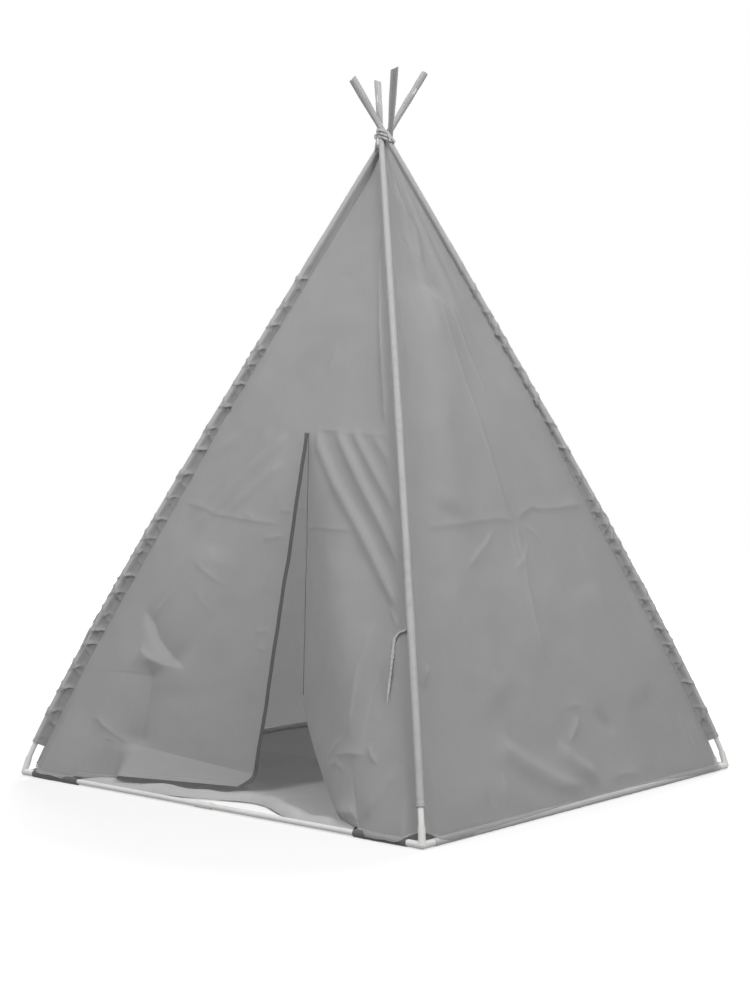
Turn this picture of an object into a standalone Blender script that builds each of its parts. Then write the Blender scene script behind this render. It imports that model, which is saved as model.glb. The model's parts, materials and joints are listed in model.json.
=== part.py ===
"""A kids teepee: a square base of push-fit tubes, four bowed poles tied at the top, and a sewn cloth cover.

Origin at the middle of the base on the ground, +Z up. The door face looks along -Y.
Corners and poles are counted anticlockwise from above: front (+X -Y), right (+X +Y), back (-X +Y) and
left (-X -Y).
"""

import math

import bmesh
import bpy
from mathutils import Matrix, Vector

# Frame
BASE_SIDE = 1.200
CROSSING_HEIGHT = 1.514
POLE_OVERRUN = 0.140
POLE_BOW = 0.026
BOW_SKEW_SHARE = 0.6
POLE_SECTIONS = 4
FOOT_BEND_SHARE = 0.2
GENTLE_BOW_STATIONS = 5
TUBE_OUTER = 0.0120
TUBE_WALL = 0.0012
CLEARANCE = 0.0003
FITTING_WALL = 0.0010
FITTING_TAPER = 0.0004
HUB_EXTRA = 0.0006
ARM_LENGTH = 0.036
SOCKET_FLOOR = 0.009
COUPLER_LENGTH = 0.050
COUPLER_STOP_WIDTH = 0.002
COUPLER_STOP_DEPTH = 0.0014
COUPLER_EDGE = 0.0006

# Cover
SLEEVE_CLOTH = 0.0006
PANEL_CLOTH = 0.0012
SEAM_WIDTH = 0.0120
SEAM_RIDGE = 0.0006
SEAM_JOIN_SHARE = 0.60
SLEEVE_START = 0.073
SLEEVE_OVERRUN = 0.175
SLEEVE_NARROWS = 0.240
SLEEVE_RING_SPACING = 0.130
PANEL_TOP_DROP = 0.045
ARCH_RUN = 0.051
ARCH_RISE = 0.016
ARCH_COLUMN_SHARES = (0.0, 0.25, 0.6, 1.0)
ARCH_FADE_SHARE = 0.12
ROW_CROWDING = 1.25
FAN_FOLD_DEPTH = 0.005
FAN_FOLDS = 4
FAN_TOP_POWER = 0.7

# Door
DOOR_FOOT = 0.428
SLIT_TOP = 0.817
SLIT_OFFSET = 0.007
SLIT_SINK = 0.007
SLIT_GAP = 0.0016
SLIT_GUSSET = 0.016
LEFT_FLAP_TUCK = 0.132
LEFT_FLAP_ASIDE = -0.032
RIGHT_FLAP_TUCK = 0.070
RIGHT_FLAP_ASIDE = 0.054
FLAP_HEM_HEIGHT = 0.010
FLAP_FOOT_LIFT = 0.009
CORNER_SPAN_SHARE = 0.34
FLAP_CORNER_RUN = 0.235
FLAP_CORNER_RISE = 0.260
SMALL_CORNER = 0.016
FLAP_FOLD_DEPTH = 0.008
FLAP_FOLDS = 2.25
FOLD_SIDE_SHARE = 0.35
FOLD_TOP_SHARE = 0.25
FOLD_HEM_SHARE = 0.20
FLAP_BULGE = 0.040
BULGE_WIDTH_SHARE = 0.9
BULGE_HEIGHT_SHARE = 0.3
HEM_FOLD_SHARE = 0.24
HEM_FOLD_FALL_SHARE = 0.75
HEM_FOLD_START_SHARE = 0.3
HEM_FOLD_KICK = 0.028
MITRE_ALLOWANCE = 0.0004
DOOR_CHANNEL_END = 0.408
STRIP_MEASURE_SHARE = 0.25

# Floor
FLOOR_CLOTH = 0.0012
FLOOR_SEAM = 0.0036
FLOOR_FREE_EDGE = 0.0016
FLOOR_INSET = 0.046
FLOOR_CORNER_CUT = 0.052
FLOOR_EDGE_STEPS = 14

# Ties
TIE_WIDTH = 0.0060
TIE_THICKNESS = 0.0012
TIE_STANDOFF = 0.0009
TIE_TURNS = 2.25
TIE_PITCH = 0.0080
TIE_SLANT = 0.0095
TIE_START = 225
TIE_TAIL = 0.034
TIE_TAIL_STAND = 0.004
SHORT_TAIL = 0.024
SHORT_TAIL_BEND = 0.0055
SHORT_TAIL_LIFT = 0.0030
SHORT_TAIL_LEAN = 30
KNOT_RADIUS = 0.0034
KNOT_STAND = 0.0031
KNOT_STRETCH = 1.7
RIBBON_WIDTH = 0.0080
RIBBON_THICKNESS = 0.0010
RIBBON_TWISTS = 1.25
RIBBON_BEND_SHARE = 0.25
RIGHT_RIBBON_EXIT = (0.400, 0.006)
RIGHT_RIBBON_BEND = (0.382, 0.038)
RIGHT_RIBBON_END = (0.270, 0.078)
LEFT_RIBBON_RUN = 0.420
LEFT_RIBBON_DROP = 0.110
LEFT_RIBBON_ANGLE = 110
LEFT_RIBBON_WRAP = 140
LEFT_RIBBON_EASE = 1.5

# Facet counts
POLE_SIDES = 10
RAIL_SIDES = 16
PANEL_ROWS = 10
PANEL_COLUMNS = 12
TIE_STEPS = 24
TAIL_STEPS = 3
KNOT_SIDES = 12
RIBBON_STEPS = 20
FLAP_ROWS = 7
FLAP_CORNER_ROWS = 4
FLAP_COLUMNS = 9
DOOR_ROWS_BELOW = 6
DOOR_ROWS_ABOVE = 5
DOOR_ROW_CROWDING = 1.2
STRIP_COLUMNS = 4
SMOOTH_BELOW = 40

HALF_SIDE = BASE_SIDE / 2
TUBE_RADIUS = TUBE_OUTER / 2
SOCKET_RADIUS = TUBE_RADIUS + CLEARANCE
FITTING_RADIUS = SOCKET_RADIUS + FITTING_WALL
CHANNEL_RADIUS = FITTING_RADIUS + CLEARANCE
SLEEVE_RADIUS = CHANNEL_RADIUS + SLEEVE_CLOTH
SNUG_SLEEVE_RADIUS = TUBE_RADIUS + CLEARANCE + SLEEVE_CLOTH
RAIL_HEIGHT = SLEEVE_RADIUS
CORNER_NAMES = ("front", "right", "back", "left")
FACE_NAMES = ("door", "right", "back", "left")


def clear_scene():
    for old in list(bpy.data.objects):
        bpy.data.objects.remove(old, do_unlink=True)


def material(name, colour, roughness):
    """A dielectric surface; colour is linear."""
    made = bpy.data.materials.new(name)
    made.use_nodes = True
    shader = made.node_tree.nodes["Principled BSDF"]
    shader.inputs["Base Color"].default_value = (*colour, 1.0)
    shader.inputs["Roughness"].default_value = roughness
    shader.inputs["Metallic"].default_value = 0.0
    return made


def white_plastic():
    return material("white_plastic", (0.80, 0.80, 0.80), 0.35)


def grey_polyester():
    return material("grey_polyester", (0.27, 0.27, 0.27), 0.75)


def dark_floor_cloth():
    return material("floor_cloth", (0.18, 0.18, 0.18), 0.80)


def grey_ribbon():
    return material("grey_ribbon", (0.33, 0.33, 0.33), 0.70)


def quarter_turn(corner):
    """Rotation that carries the front corner to the given one."""
    return Matrix.Rotation(corner * math.tau / 4, 4, "Z")


def add_object(name, mesh, surface):
    """Puts a mesh in the scene as one named object with its own surface."""
    if not mesh.materials:
        mesh.materials.append(surface)
    mesh.shade_smooth()
    mesh.set_sharp_from_angle(angle=math.radians(SMOOTH_BELOW))
    made = bpy.data.objects.new(name, mesh)
    bpy.context.scene.collection.objects.link(made)
    return made


def mesh_from(shape, name):
    """Turns a finished bmesh into a mesh whose faces point outwards."""
    bmesh.ops.recalc_face_normals(shape, faces=shape.faces)
    mesh = bpy.data.meshes.new(name)
    shape.to_mesh(mesh)
    shape.free()
    return mesh


def circle_outline(radius, sides):
    return [
        (radius * math.cos(math.tau * i / sides), radius * math.sin(math.tau * i / sides))
        for i in range(sides)
    ]


def ring_points(station, outline):
    """Points of a flat outline set square across a station."""
    return [station @ Vector((along, across, 0.0)) for along, across in outline]


def bridge_rings(shape, rings):
    """Joins each ring of vertices to the next with a band of quads."""
    count = len(rings[0])
    for lower, upper in zip(rings, rings[1:]):
        for i in range(count):
            j = (i + 1) % count
            shape.faces.new((lower[i], lower[j], upper[j], upper[i]))


def join_end(shape, outer, inner):
    """Closes the wall between an outer and an inner ring of as many vertices."""
    count = len(outer)
    for i in range(count):
        j = (i + 1) % count
        shape.faces.new((outer[i], outer[j], inner[j], inner[i]))


def skin(shape, outer_points, inner_points=None):
    """Adds a closed body over rings of points: solid, or a tube open at both ends."""
    outer = [[shape.verts.new(point) for point in ring] for ring in outer_points]
    bridge_rings(shape, outer)
    if inner_points is None:
        shape.faces.new(outer[0])
        shape.faces.new(outer[-1])
        return
    inner = [[shape.verts.new(point) for point in ring] for ring in inner_points]
    bridge_rings(shape, inner)
    join_end(shape, outer[0], inner[0])
    join_end(shape, outer[-1], inner[-1])


def station_on(point, tangent, towards):
    """Frame at a point of a path: X leans towards a direction, Z follows the path."""
    along = tangent.normalized()
    inward = (towards - along * towards.dot(along)).normalized()
    side = along.cross(inward)
    placed = Matrix((inward, side, along)).transposed().to_4x4()
    placed.translation = point
    return placed


def turn_ring(shape, profile, sides, place):
    """Adds a ring turned from a closed (radius, height) profile round the Z axis of a frame."""
    corners = [shape.verts.new((radius, 0.0, height)) for radius, height in profile]
    edges = [shape.edges.new((corners[i - 1], corners[i])) for i in range(len(corners))]
    bmesh.ops.spin(
        shape,
        geom=corners + edges,
        cent=(0.0, 0.0, 0.0),
        axis=(0.0, 0.0, 1.0),
        angle=math.tau,
        steps=sides,
        use_merge=True,
    )
    bmesh.ops.transform(shape, matrix=place, verts=shape.verts)


# Pole geometry, all of it for the front pole; the other three are quarter turns of it


def crossing_offset():
    """How far each pole passes the middle axis, so that sleeves touch side by side at the tie."""
    straight = math.hypot(HALF_SIDE * math.sqrt(2.0), CROSSING_HEIGHT)
    lean = pole_lean() + POLE_BOW * math.pi * BOW_SKEW_SHARE / straight
    upright = math.cos(lean) ** 2
    return (2 * SNUG_SLEEVE_RADIUS + CLEARANCE) / math.sqrt(4.0 * upright / (1.0 + upright))


def pole_lean():
    """Angle between a pole and the vertical."""
    return math.atan2(HALF_SIDE * math.sqrt(2.0), CROSSING_HEIGHT)


def pole_chord():
    """Foot and crossing point of the front pole's axis."""
    foot = Vector((HALF_SIDE, -HALF_SIDE, RAIL_HEIGHT))
    aside = Vector((-1.0, -1.0, 0.0)).normalized() * crossing_offset()
    crossing = Vector((0.0, 0.0, RAIL_HEIGHT + CROSSING_HEIGHT)) + aside
    return foot, crossing


def pole_length():
    foot, crossing = pole_chord()
    return (crossing - foot).length


def pole_point(run):
    """Point of the front pole's axis, a distance along its chord: straight in the socket, bowed above it."""
    foot, crossing = pole_chord()
    along = (crossing - foot).normalized()
    out = Vector((1.0, -1.0, 0.0))
    up_and_out = (out - along * along.dot(out)).normalized()
    curved_run = max(run, ARM_LENGTH)
    bow = POLE_BOW * math.sin(math.pi * (curved_run / pole_length()) ** BOW_SKEW_SHARE)
    bow *= min(run / ARM_LENGTH, 1.0)
    return foot + along * run + up_and_out * bow


def pole_station(run):
    """Frame on the front pole's axis: X towards the inside of the tent, Z up the pole."""
    reach = FITTING_RADIUS
    low = max(run - reach, 0.0)
    tangent = pole_point(low + 2 * reach) - pole_point(low)
    if run < ARM_LENGTH:
        tangent = pole_point(ARM_LENGTH) - pole_point(0.0)
    return station_on(pole_point(run), tangent, Vector((-1.0, 1.0, 0.0)))


def tube_mesh(name, stations, sides):
    """An open pipe through every station; the bore of a gently bowed tube skips its inner stations."""
    shape = bmesh.new()
    outer = [ring_points(station, circle_outline(TUBE_RADIUS, sides)) for station in stations]
    bore_stations = [stations[0], stations[len(stations) // 2], stations[-1]]
    if len(stations) == 2 or len(stations) > GENTLE_BOW_STATIONS:
        bore_stations = stations
    bore = circle_outline(TUBE_RADIUS - TUBE_WALL, sides)
    skin(shape, outer, [ring_points(station, bore) for station in bore_stations])
    return mesh_from(shape, name)


def collar_profile():
    """Closed half section of a plain collar, which the cover hides."""
    half = COUPLER_LENGTH / 2
    return [(SOCKET_RADIUS, half), (FITTING_RADIUS, half), (FITTING_RADIUS, -half), (SOCKET_RADIUS, -half)]


def coupler_runs():
    """Where the middles of the pole couplers lie along the pole."""
    low = SOCKET_FLOOR + CLEARANCE
    high = pole_length() + POLE_OVERRUN
    return [low + (high - low) * i / POLE_SECTIONS for i in range(1, POLE_SECTIONS)]


def pole_tube_runs():
    """Start and end of each tube of a pole."""
    stop = COUPLER_STOP_WIDTH / 2 + CLEARANCE
    joints = coupler_runs()
    starts = [SOCKET_FLOOR + CLEARANCE] + [run + stop for run in joints]
    ends = [run - stop for run in joints] + [pole_length() + POLE_OVERRUN]
    return list(zip(starts, ends))


def pole_tube_stations(index):
    """Frames down one pole tube: straight inside its fittings and curved between them."""
    start, end = pole_tube_runs()[index]
    grip = COUPLER_LENGTH / 2
    joints = coupler_runs()
    stations = []
    if index == 0:
        stations += [pole_station(start), pole_station(ARM_LENGTH - CLEARANCE)]
        low = ARM_LENGTH
    else:
        stations += straight_through(joints[index - 1], (start, joints[index - 1] + grip))
        low = joints[index - 1] + grip
    if index == POLE_SECTIONS - 1:
        stations += [pole_station((low + end) / 2), pole_station(end)]
        return stations
    high = joints[index] - grip
    if index == 0:
        stations.append(pole_station(low + (high - low) * FOOT_BEND_SHARE))
    stations.append(pole_station((low + high) / 2))
    stations += straight_through(joints[index], (high, end))
    return stations


def straight_through(middle, runs):
    """Frames on the straight axis of the coupler at a middle."""
    axis = pole_station(middle)
    return [axis @ Matrix.Translation((0.0, 0.0, run - middle)) for run in runs]


def add_pole_tubes(plastic):
    for index in range(POLE_SECTIONS):
        mesh = tube_mesh(f"pole_tube_{index + 1}", pole_tube_stations(index), POLE_SIDES)
        for corner, name in enumerate(CORNER_NAMES):
            made = add_object(f"{name}_pole_tube_{index + 1}", mesh, plastic)
            made.rotation_euler.z = corner * math.tau / 4


def add_pole_couplers(plastic):
    for index, run in enumerate(coupler_runs()):
        shape = bmesh.new()
        turn_ring(shape, collar_profile(), POLE_SIDES, pole_station(run))
        mesh = mesh_from(shape, f"pole_coupler_{index + 1}")
        for corner, name in enumerate(CORNER_NAMES):
            made = add_object(f"{name}_pole_coupler_{index + 1}", mesh, plastic)
            made.rotation_euler.z = corner * math.tau / 4


# Base: corner connectors, rail tubes and rail couplers


def rail_station(run):
    """Frame on the door rail's axis, a distance from its middle; X points into the tent."""
    point = Vector((run, -HALF_SIDE, RAIL_HEIGHT))
    return station_on(point, Vector((1.0, 0.0, 0.0)), Vector((0.0, 1.0, 0.0)))


def helper(name, shape):
    """A body that only cuts or joins another."""
    made = bpy.data.objects.new(name, mesh_from(shape, name))
    bpy.context.scene.collection.objects.link(made)
    made.hide_render = True
    made.display_type = "WIRE"
    return made


def cone_helper(name, frame, low, high, radii, sides):
    """A solid cone or cylinder on a frame's Z axis between two heights."""
    shape = bmesh.new()
    ends = [frame @ Matrix.Translation((0.0, 0.0, height)) for height in (low, high)]
    skin(shape, [ring_points(end, circle_outline(radius, sides)) for end, radius in zip(ends, radii)])
    return helper(name, shape)


def arm_body(frame):
    """One slightly tapered socket arm, from the hub's middle out to its mouth."""
    radii = (FITTING_RADIUS + FITTING_TAPER, FITTING_RADIUS)
    return cone_helper("arm_body", frame, 0.0, ARM_LENGTH, radii, RAIL_SIDES)


def arm_bore(frame, sides):
    """The bore of one socket arm, run past its mouth so that it cuts clean."""
    radii = (SOCKET_RADIUS, SOCKET_RADIUS)
    return cone_helper("arm_bore", frame, SOCKET_FLOOR, ARM_LENGTH + FITTING_WALL, radii, sides)


def arm_frames():
    """Frames of the three arms of the front connector, about its hub: two rails and the pole."""
    hub = Vector((0.0, 0.0, 0.0))
    up = Vector((0.0, 0.0, 1.0))
    pole = pole_station(0.0)
    pole.translation = hub
    rails = (Vector((-1.0, 0.0, 0.0)), Vector((0.0, 1.0, 0.0)))
    return [station_on(hub, direction, up) for direction in rails] + [pole]


def combined(name, base, steps):
    """The finished mesh of a helper after its (operation, helper) steps; the helpers are used up."""
    for operation, other in steps:
        cut = base.modifiers.new(operation.lower(), "BOOLEAN")
        cut.operation = operation
        cut.solver = "EXACT"
        cut.object = other
    bpy.context.view_layer.update()
    graph = bpy.context.evaluated_depsgraph_get()
    mesh = bpy.data.meshes.new_from_object(base.evaluated_get(graph))
    for used in [base] + [other for _, other in steps]:
        bpy.data.objects.remove(used, do_unlink=True)
    mesh.name = name
    return mesh


def connector_mesh():
    """A three-way corner: rounded hub, two level sockets and one leaning socket."""
    shape = bmesh.new()
    bmesh.ops.create_uvsphere(
        shape,
        u_segments=RAIL_SIDES,
        v_segments=RAIL_SIDES // 2,
        radius=FITTING_RADIUS + HUB_EXTRA,
    )
    frames = arm_frames()
    steps = [("UNION", arm_body(frame)) for frame in frames]
    steps += [("DIFFERENCE", arm_bore(frame, RAIL_SIDES)) for frame in frames[:2]]
    steps.append(("DIFFERENCE", arm_bore(frames[2], POLE_SIDES)))
    return combined("corner_connector", helper("connector_hub", shape), steps)


def add_corner_connectors(plastic):
    mesh = connector_mesh()
    for corner, name in enumerate(CORNER_NAMES):
        made = add_object(f"{name}_corner_connector", mesh, plastic)
        made.location = quarter_turn(corner) @ Vector((HALF_SIDE, -HALF_SIDE, RAIL_HEIGHT))
        made.rotation_euler.z = corner * math.tau / 4


def rail_coupler_profile():
    """Closed half section of a base coupler: a collar with broken rims and a stop halfway."""
    half = COUPLER_LENGTH / 2
    half_stop = COUPLER_STOP_WIDTH / 2
    stop_radius = SOCKET_RADIUS - COUPLER_STOP_DEPTH
    outside = [
        (SOCKET_RADIUS, half),
        (FITTING_RADIUS - COUPLER_EDGE, half),
        (FITTING_RADIUS, half - COUPLER_EDGE),
        (FITTING_RADIUS, COUPLER_EDGE - half),
        (FITTING_RADIUS - COUPLER_EDGE, -half),
        (SOCKET_RADIUS, -half),
    ]
    inside = [
        (SOCKET_RADIUS, -half_stop),
        (stop_radius, -half_stop),
        (stop_radius, half_stop),
        (SOCKET_RADIUS, half_stop),
    ]
    return outside + inside


def add_rails(plastic):
    """Two tubes and one coupler to each side of the base."""
    stop = COUPLER_STOP_WIDTH / 2 + CLEARANCE
    end = HALF_SIDE - SOCKET_FLOOR - CLEARANCE
    tubes = [
        tube_mesh("rail_tube_1", [rail_station(-end), rail_station(-stop)], RAIL_SIDES),
        tube_mesh("rail_tube_2", [rail_station(stop), rail_station(end)], RAIL_SIDES),
    ]
    shape = bmesh.new()
    turn_ring(shape, rail_coupler_profile(), RAIL_SIDES, rail_station(0.0))
    collar = mesh_from(shape, "rail_coupler")
    for face, name in enumerate(FACE_NAMES):
        pieces = [add_object(f"{name}_rail_tube_{i + 1}", mesh, plastic) for i, mesh in enumerate(tubes)]
        pieces.append(add_object(f"{name}_rail_coupler", collar, plastic))
        for piece in pieces:
            piece.rotation_euler.z = face * math.tau / 4


# Cover: pole sleeves


def ease(share):
    """Smooth step from 0 to 1."""
    share = min(max(share, 0.0), 1.0)
    return share * share * (3.0 - 2.0 * share)


def snugness(run):
    """0 where the sleeve hangs loose, 1 where the tie draws it tight."""
    return ease(1.0 - (pole_length() - run) / SLEEVE_NARROWS)


def sleeve_radius(run):
    return SLEEVE_RADIUS + (SNUG_SLEEVE_RADIUS - SLEEVE_RADIUS) * snugness(run)


def seam_neck(run):
    """Where the sleeve's round part ends and its flat seam begins, inwards of the pole's axis."""
    return sleeve_radius(run) + SLEEVE_CLOTH / 2


def seam_width(run):
    """Width of the flat seam, which dies away to a ridge at the tie."""
    return SEAM_RIDGE + (SEAM_WIDTH - SEAM_RIDGE) * (1.0 - snugness(run))


def sleeve_outline(run):
    """Cloth round a pole: round outside, drawn to a flat seam inside."""
    neck = seam_neck(run)
    reach = neck + seam_width(run)
    rounds = circle_outline(sleeve_radius(run), POLE_SIDES)[1:]
    upper = [(reach, SLEEVE_CLOTH), (neck, SLEEVE_CLOTH)]
    lower = [(neck, -SLEEVE_CLOTH), (reach, -SLEEVE_CLOTH)]
    return upper + rounds + lower


def sleeve_bore(run):
    """Inside of the cloth, with as many points as its outline."""
    radius = sleeve_radius(run) - SLEEVE_CLOTH
    near = math.tau / POLE_SIDES / 4
    angles = [near / 4, near] + [math.tau * i / POLE_SIDES for i in range(1, POLE_SIDES)] + [-near, -near / 4]
    return [(radius * math.cos(angle), radius * math.sin(angle)) for angle in angles]


def sleeve_runs():
    """Ring places along a sleeve: past both ends of each coupler, through the narrowing, then even."""
    grips = [run + side * COUPLER_LENGTH for run in coupler_runs() for side in (-1, 1)]
    length = pole_length()
    waist = [length - SLEEVE_NARROWS, length - SLEEVE_NARROWS / 2, length]
    stops = [SLEEVE_START] + grips + waist + [length + SLEEVE_OVERRUN]
    runs = []
    for low, high in zip(stops, stops[1:]):
        count = max(1, round((high - low) / SLEEVE_RING_SPACING))
        runs += [low + (high - low) * i / count for i in range(count)]
    return runs + [stops[-1]]


def add_pole_sleeves(cloth):
    shape = bmesh.new()
    stations = [(run, pole_station(run)) for run in sleeve_runs()]
    outer = [ring_points(station, sleeve_outline(run)) for run, station in stations]
    inner = [ring_points(station, sleeve_bore(run)) for run, station in stations]
    skin(shape, outer, inner)
    mesh = mesh_from(shape, "pole_sleeve")
    for corner, name in enumerate(CORNER_NAMES):
        made = add_object(f"{name}_pole_sleeve", mesh, cloth)
        made.rotation_euler.z = corner * math.tau / 4


# Cover: wall panels


def seam_point(run, corner, hand):
    """Where the middle of a panel's cloth meets a pole's seam; hand is +1 clockwise of the pole, else -1."""
    aside = SLEEVE_CLOTH + CLEARANCE + PANEL_CLOTH / 2
    local = Vector((seam_neck(run) + seam_width(run) * SEAM_JOIN_SHARE, hand * aside, 0.0))
    return quarter_turn(corner) @ (pole_station(run) @ local)


def panel_bottom_height():
    return RAIL_HEIGHT + SLEEVE_RADIUS + 2 * CLEARANCE


def seam_start():
    """Distance up the pole at which the arch over the connector reaches the seam."""
    return (ARCH_RISE + SLEEVE_RADIUS) / math.cos(pole_lean())


def panel_runs(rows):
    """Distances up the pole of a panel's rows, closer together near the ground."""
    low = seam_start()
    high = pole_length() - PANEL_TOP_DROP
    return [low + (high - low) * (i / rows) ** ROW_CROWDING for i in range(rows + 1)]


def edge_low_point(hand):
    """Lowest seam point of the door face, on its left (-1) or right (+1) side."""
    if hand < 0:
        return seam_point(seam_start(), -1, -1)
    return seam_point(seam_start(), 0, 1)


def bottom_point(x):
    """Lower edge of a wall panel: level over the rail, with an arch over each connector."""
    hand = 1 if x > 0 else -1
    top = edge_low_point(hand)
    low = panel_bottom_height()
    rail_y = -HALF_SIDE + PANEL_CLOTH
    from_corner = HALF_SIDE - abs(x)
    if from_corner >= ARCH_RUN:
        return Vector((x, rail_y, low))
    end_from_corner = HALF_SIDE - abs(top.x)
    rise = math.sqrt(1.0 - (from_corner / ARCH_RUN) ** 2)
    full_rise = math.sqrt(1.0 - (end_from_corner / ARCH_RUN) ** 2)
    climb = rise / full_rise
    return Vector((x, rail_y + (top.y - rail_y) * climb, low + (top.z - low) * climb))


def arch_shares(width):
    """Column places over an arch, as shares of a panel's width."""
    arch = (ARCH_RUN - (HALF_SIDE - abs(edge_low_point(1).x))) / width
    return [arch * share for share in ARCH_COLUMN_SHARES]


def fill(left, right, bottom, row_shares, column_shares):
    """Points of a cloth between two side curves; its lower edge has its own curve, fading out upwards."""
    grid = []
    for row in row_shares:
        fade = (1.0 - min(row / ARCH_FADE_SHARE, 1.0)) ** 2
        line = []
        for column in column_shares:
            base = left(0.0).lerp(right(0.0), column)
            point = left(row).lerp(right(row), column) + fade * (bottom(column) - base)
            line.append(point)
        grid.append(line)
    return grid


def push_out(grid, depth):
    """Moves each point of a grid along the cloth's normal by depth(row share, column share)."""
    rows = len(grid) - 1
    columns = len(grid[0]) - 1
    moved = []
    for i, line in enumerate(grid):
        across_row = []
        for j, point in enumerate(line):
            up = grid[min(i + 1, rows)][j] - grid[max(i - 1, 0)][j]
            across = line[min(j + 1, columns)] - line[max(j - 1, 0)]
            across_row.append(point + across.cross(up).normalized() * depth(i / rows, j / columns))
        moved.append(across_row)
    return moved


def add_grid(shape, grid):
    """Adds a sheet of quads over a grid of points, facing the side that push_out moves towards."""
    vertices = [[shape.verts.new(point) for point in line] for line in grid]
    for lower, upper in zip(vertices, vertices[1:]):
        for j in range(len(lower) - 1):
            shape.faces.new((lower[j], lower[j + 1], upper[j + 1], upper[j]))


def cloth_object(name, shape, surface, thickness):
    """A sheet given its thickness, half to each side."""
    bmesh.ops.remove_doubles(shape, verts=shape.verts, dist=CLEARANCE / 10)
    mesh = bpy.data.meshes.new(name)
    shape.to_mesh(mesh)
    shape.free()
    made = add_object(name, mesh, surface)
    solid = made.modifiers.new("thickness", "SOLIDIFY")
    solid.thickness = thickness
    solid.offset = 0.0
    return made


def fan_folds(row, column):
    """Shallow folds that fan out from the tie and die away at the seams and the hem."""
    swell = math.sin(math.pi * column) * math.sin(math.pi * min(row, 1.0) ** FAN_TOP_POWER)
    return FAN_FOLD_DEPTH * swell * math.cos(math.tau * FAN_FOLDS * (column - 0.5))


def wall_grid():
    """Cloth of one plain wall, as it stands on the door side."""
    runs = panel_runs(PANEL_ROWS)
    low = runs[0]
    span = runs[-1] - low
    rows = [(run - low) / span for run in runs]
    left_low = edge_low_point(-1)
    right_low = edge_low_point(1)
    width = right_low.x - left_low.x
    arch = arch_shares(width)
    middle = [arch[-1] + (1.0 - 2 * arch[-1]) * i / PANEL_COLUMNS for i in range(1, PANEL_COLUMNS)]
    columns = arch + middle + [1.0 - share for share in reversed(arch)]
    grid = fill(
        lambda row: seam_point(low + span * row, -1, -1),
        lambda row: seam_point(low + span * row, 0, 1),
        lambda column: bottom_point(left_low.x + width * column),
        rows,
        columns,
    )
    return push_out(grid, fan_folds)


def add_plain_walls(cloth):
    grid = wall_grid()
    for face in (1, 2, 3):
        shape = bmesh.new()
        add_grid(shape, grid)
        made = cloth_object(f"{FACE_NAMES[face]}_panel", shape, cloth, PANEL_CLOTH)
        made.rotation_euler.z = face * math.tau / 4


# Door: a panel with a slit, and two flaps hinged on the seams that run from the slit's top to the rail


def slit_apex():
    """Top of the door slit, on the outside of the cloth."""
    run = (SLIT_TOP - RAIL_HEIGHT) / math.cos(pole_lean())
    level = (seam_point(run, -1, -1) + seam_point(run, 0, 1)) / 2
    return Vector((SLIT_OFFSET, level.y + SLIT_SINK, SLIT_TOP))


def hinge_foot(hand):
    """Lower end of a flap's hinge line, left (-1) or right (+1)."""
    return bottom_point(hand * DOOR_FOOT)


def hinge_axis(hand):
    """Unit direction of a hinge line, upwards."""
    return (slit_apex() - hinge_foot(hand)).normalized()


def strip_direction(hand):
    """From the hinge line towards the pole, square to the line, in the strip of panel beside it."""
    axis = hinge_axis(hand)
    middle_run = pole_length() * STRIP_MEASURE_SHARE
    seam = seam_point(middle_run, 0, 1) if hand > 0 else seam_point(middle_run, -1, -1)
    towards = seam - hinge_foot(hand)
    return (towards - axis * towards.dot(axis)).normalized()


def flap_corner(hand):
    """Lowest free corner of a flap as it hangs near the floor, a little to its own side of the slit."""
    aside, tuck = (RIGHT_FLAP_ASIDE, RIGHT_FLAP_TUCK) if hand > 0 else (LEFT_FLAP_ASIDE, LEFT_FLAP_TUCK)
    return Vector((aside, slit_apex().y - tuck, FLAP_HEM_HEIGHT))


def flap_direction(hand):
    """From the hinge line towards the free edge, square to the line, in the hanging flap."""
    axis = hinge_axis(hand)
    towards = flap_corner(hand) - hinge_foot(hand)
    return (towards - axis * towards.dot(axis)).normalized()


def outward(direction, hand):
    """Outer normal of the cloth that lies along a direction from a hinge line."""
    normal = hinge_axis(hand).cross(direction)
    return normal if normal.y < 0 else -normal


def flap_inset(hand):
    """Gap that a flap's square-cut edge needs so that it clears the panel while it hangs inwards."""
    bend = flap_direction(hand).angle(-strip_direction(hand))
    return PANEL_CLOTH * math.tan(bend) + MITRE_ALLOWANCE


def hinge_edge(hand, share):
    """Middle of the panel's cut edge beside a hinge line, from its foot to the slit's top."""
    direction = strip_direction(hand)
    line = hinge_foot(hand).lerp(slit_apex(), share)
    return line + direction * CLEARANCE - outward(direction, hand) * PANEL_CLOTH / 2


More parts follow.
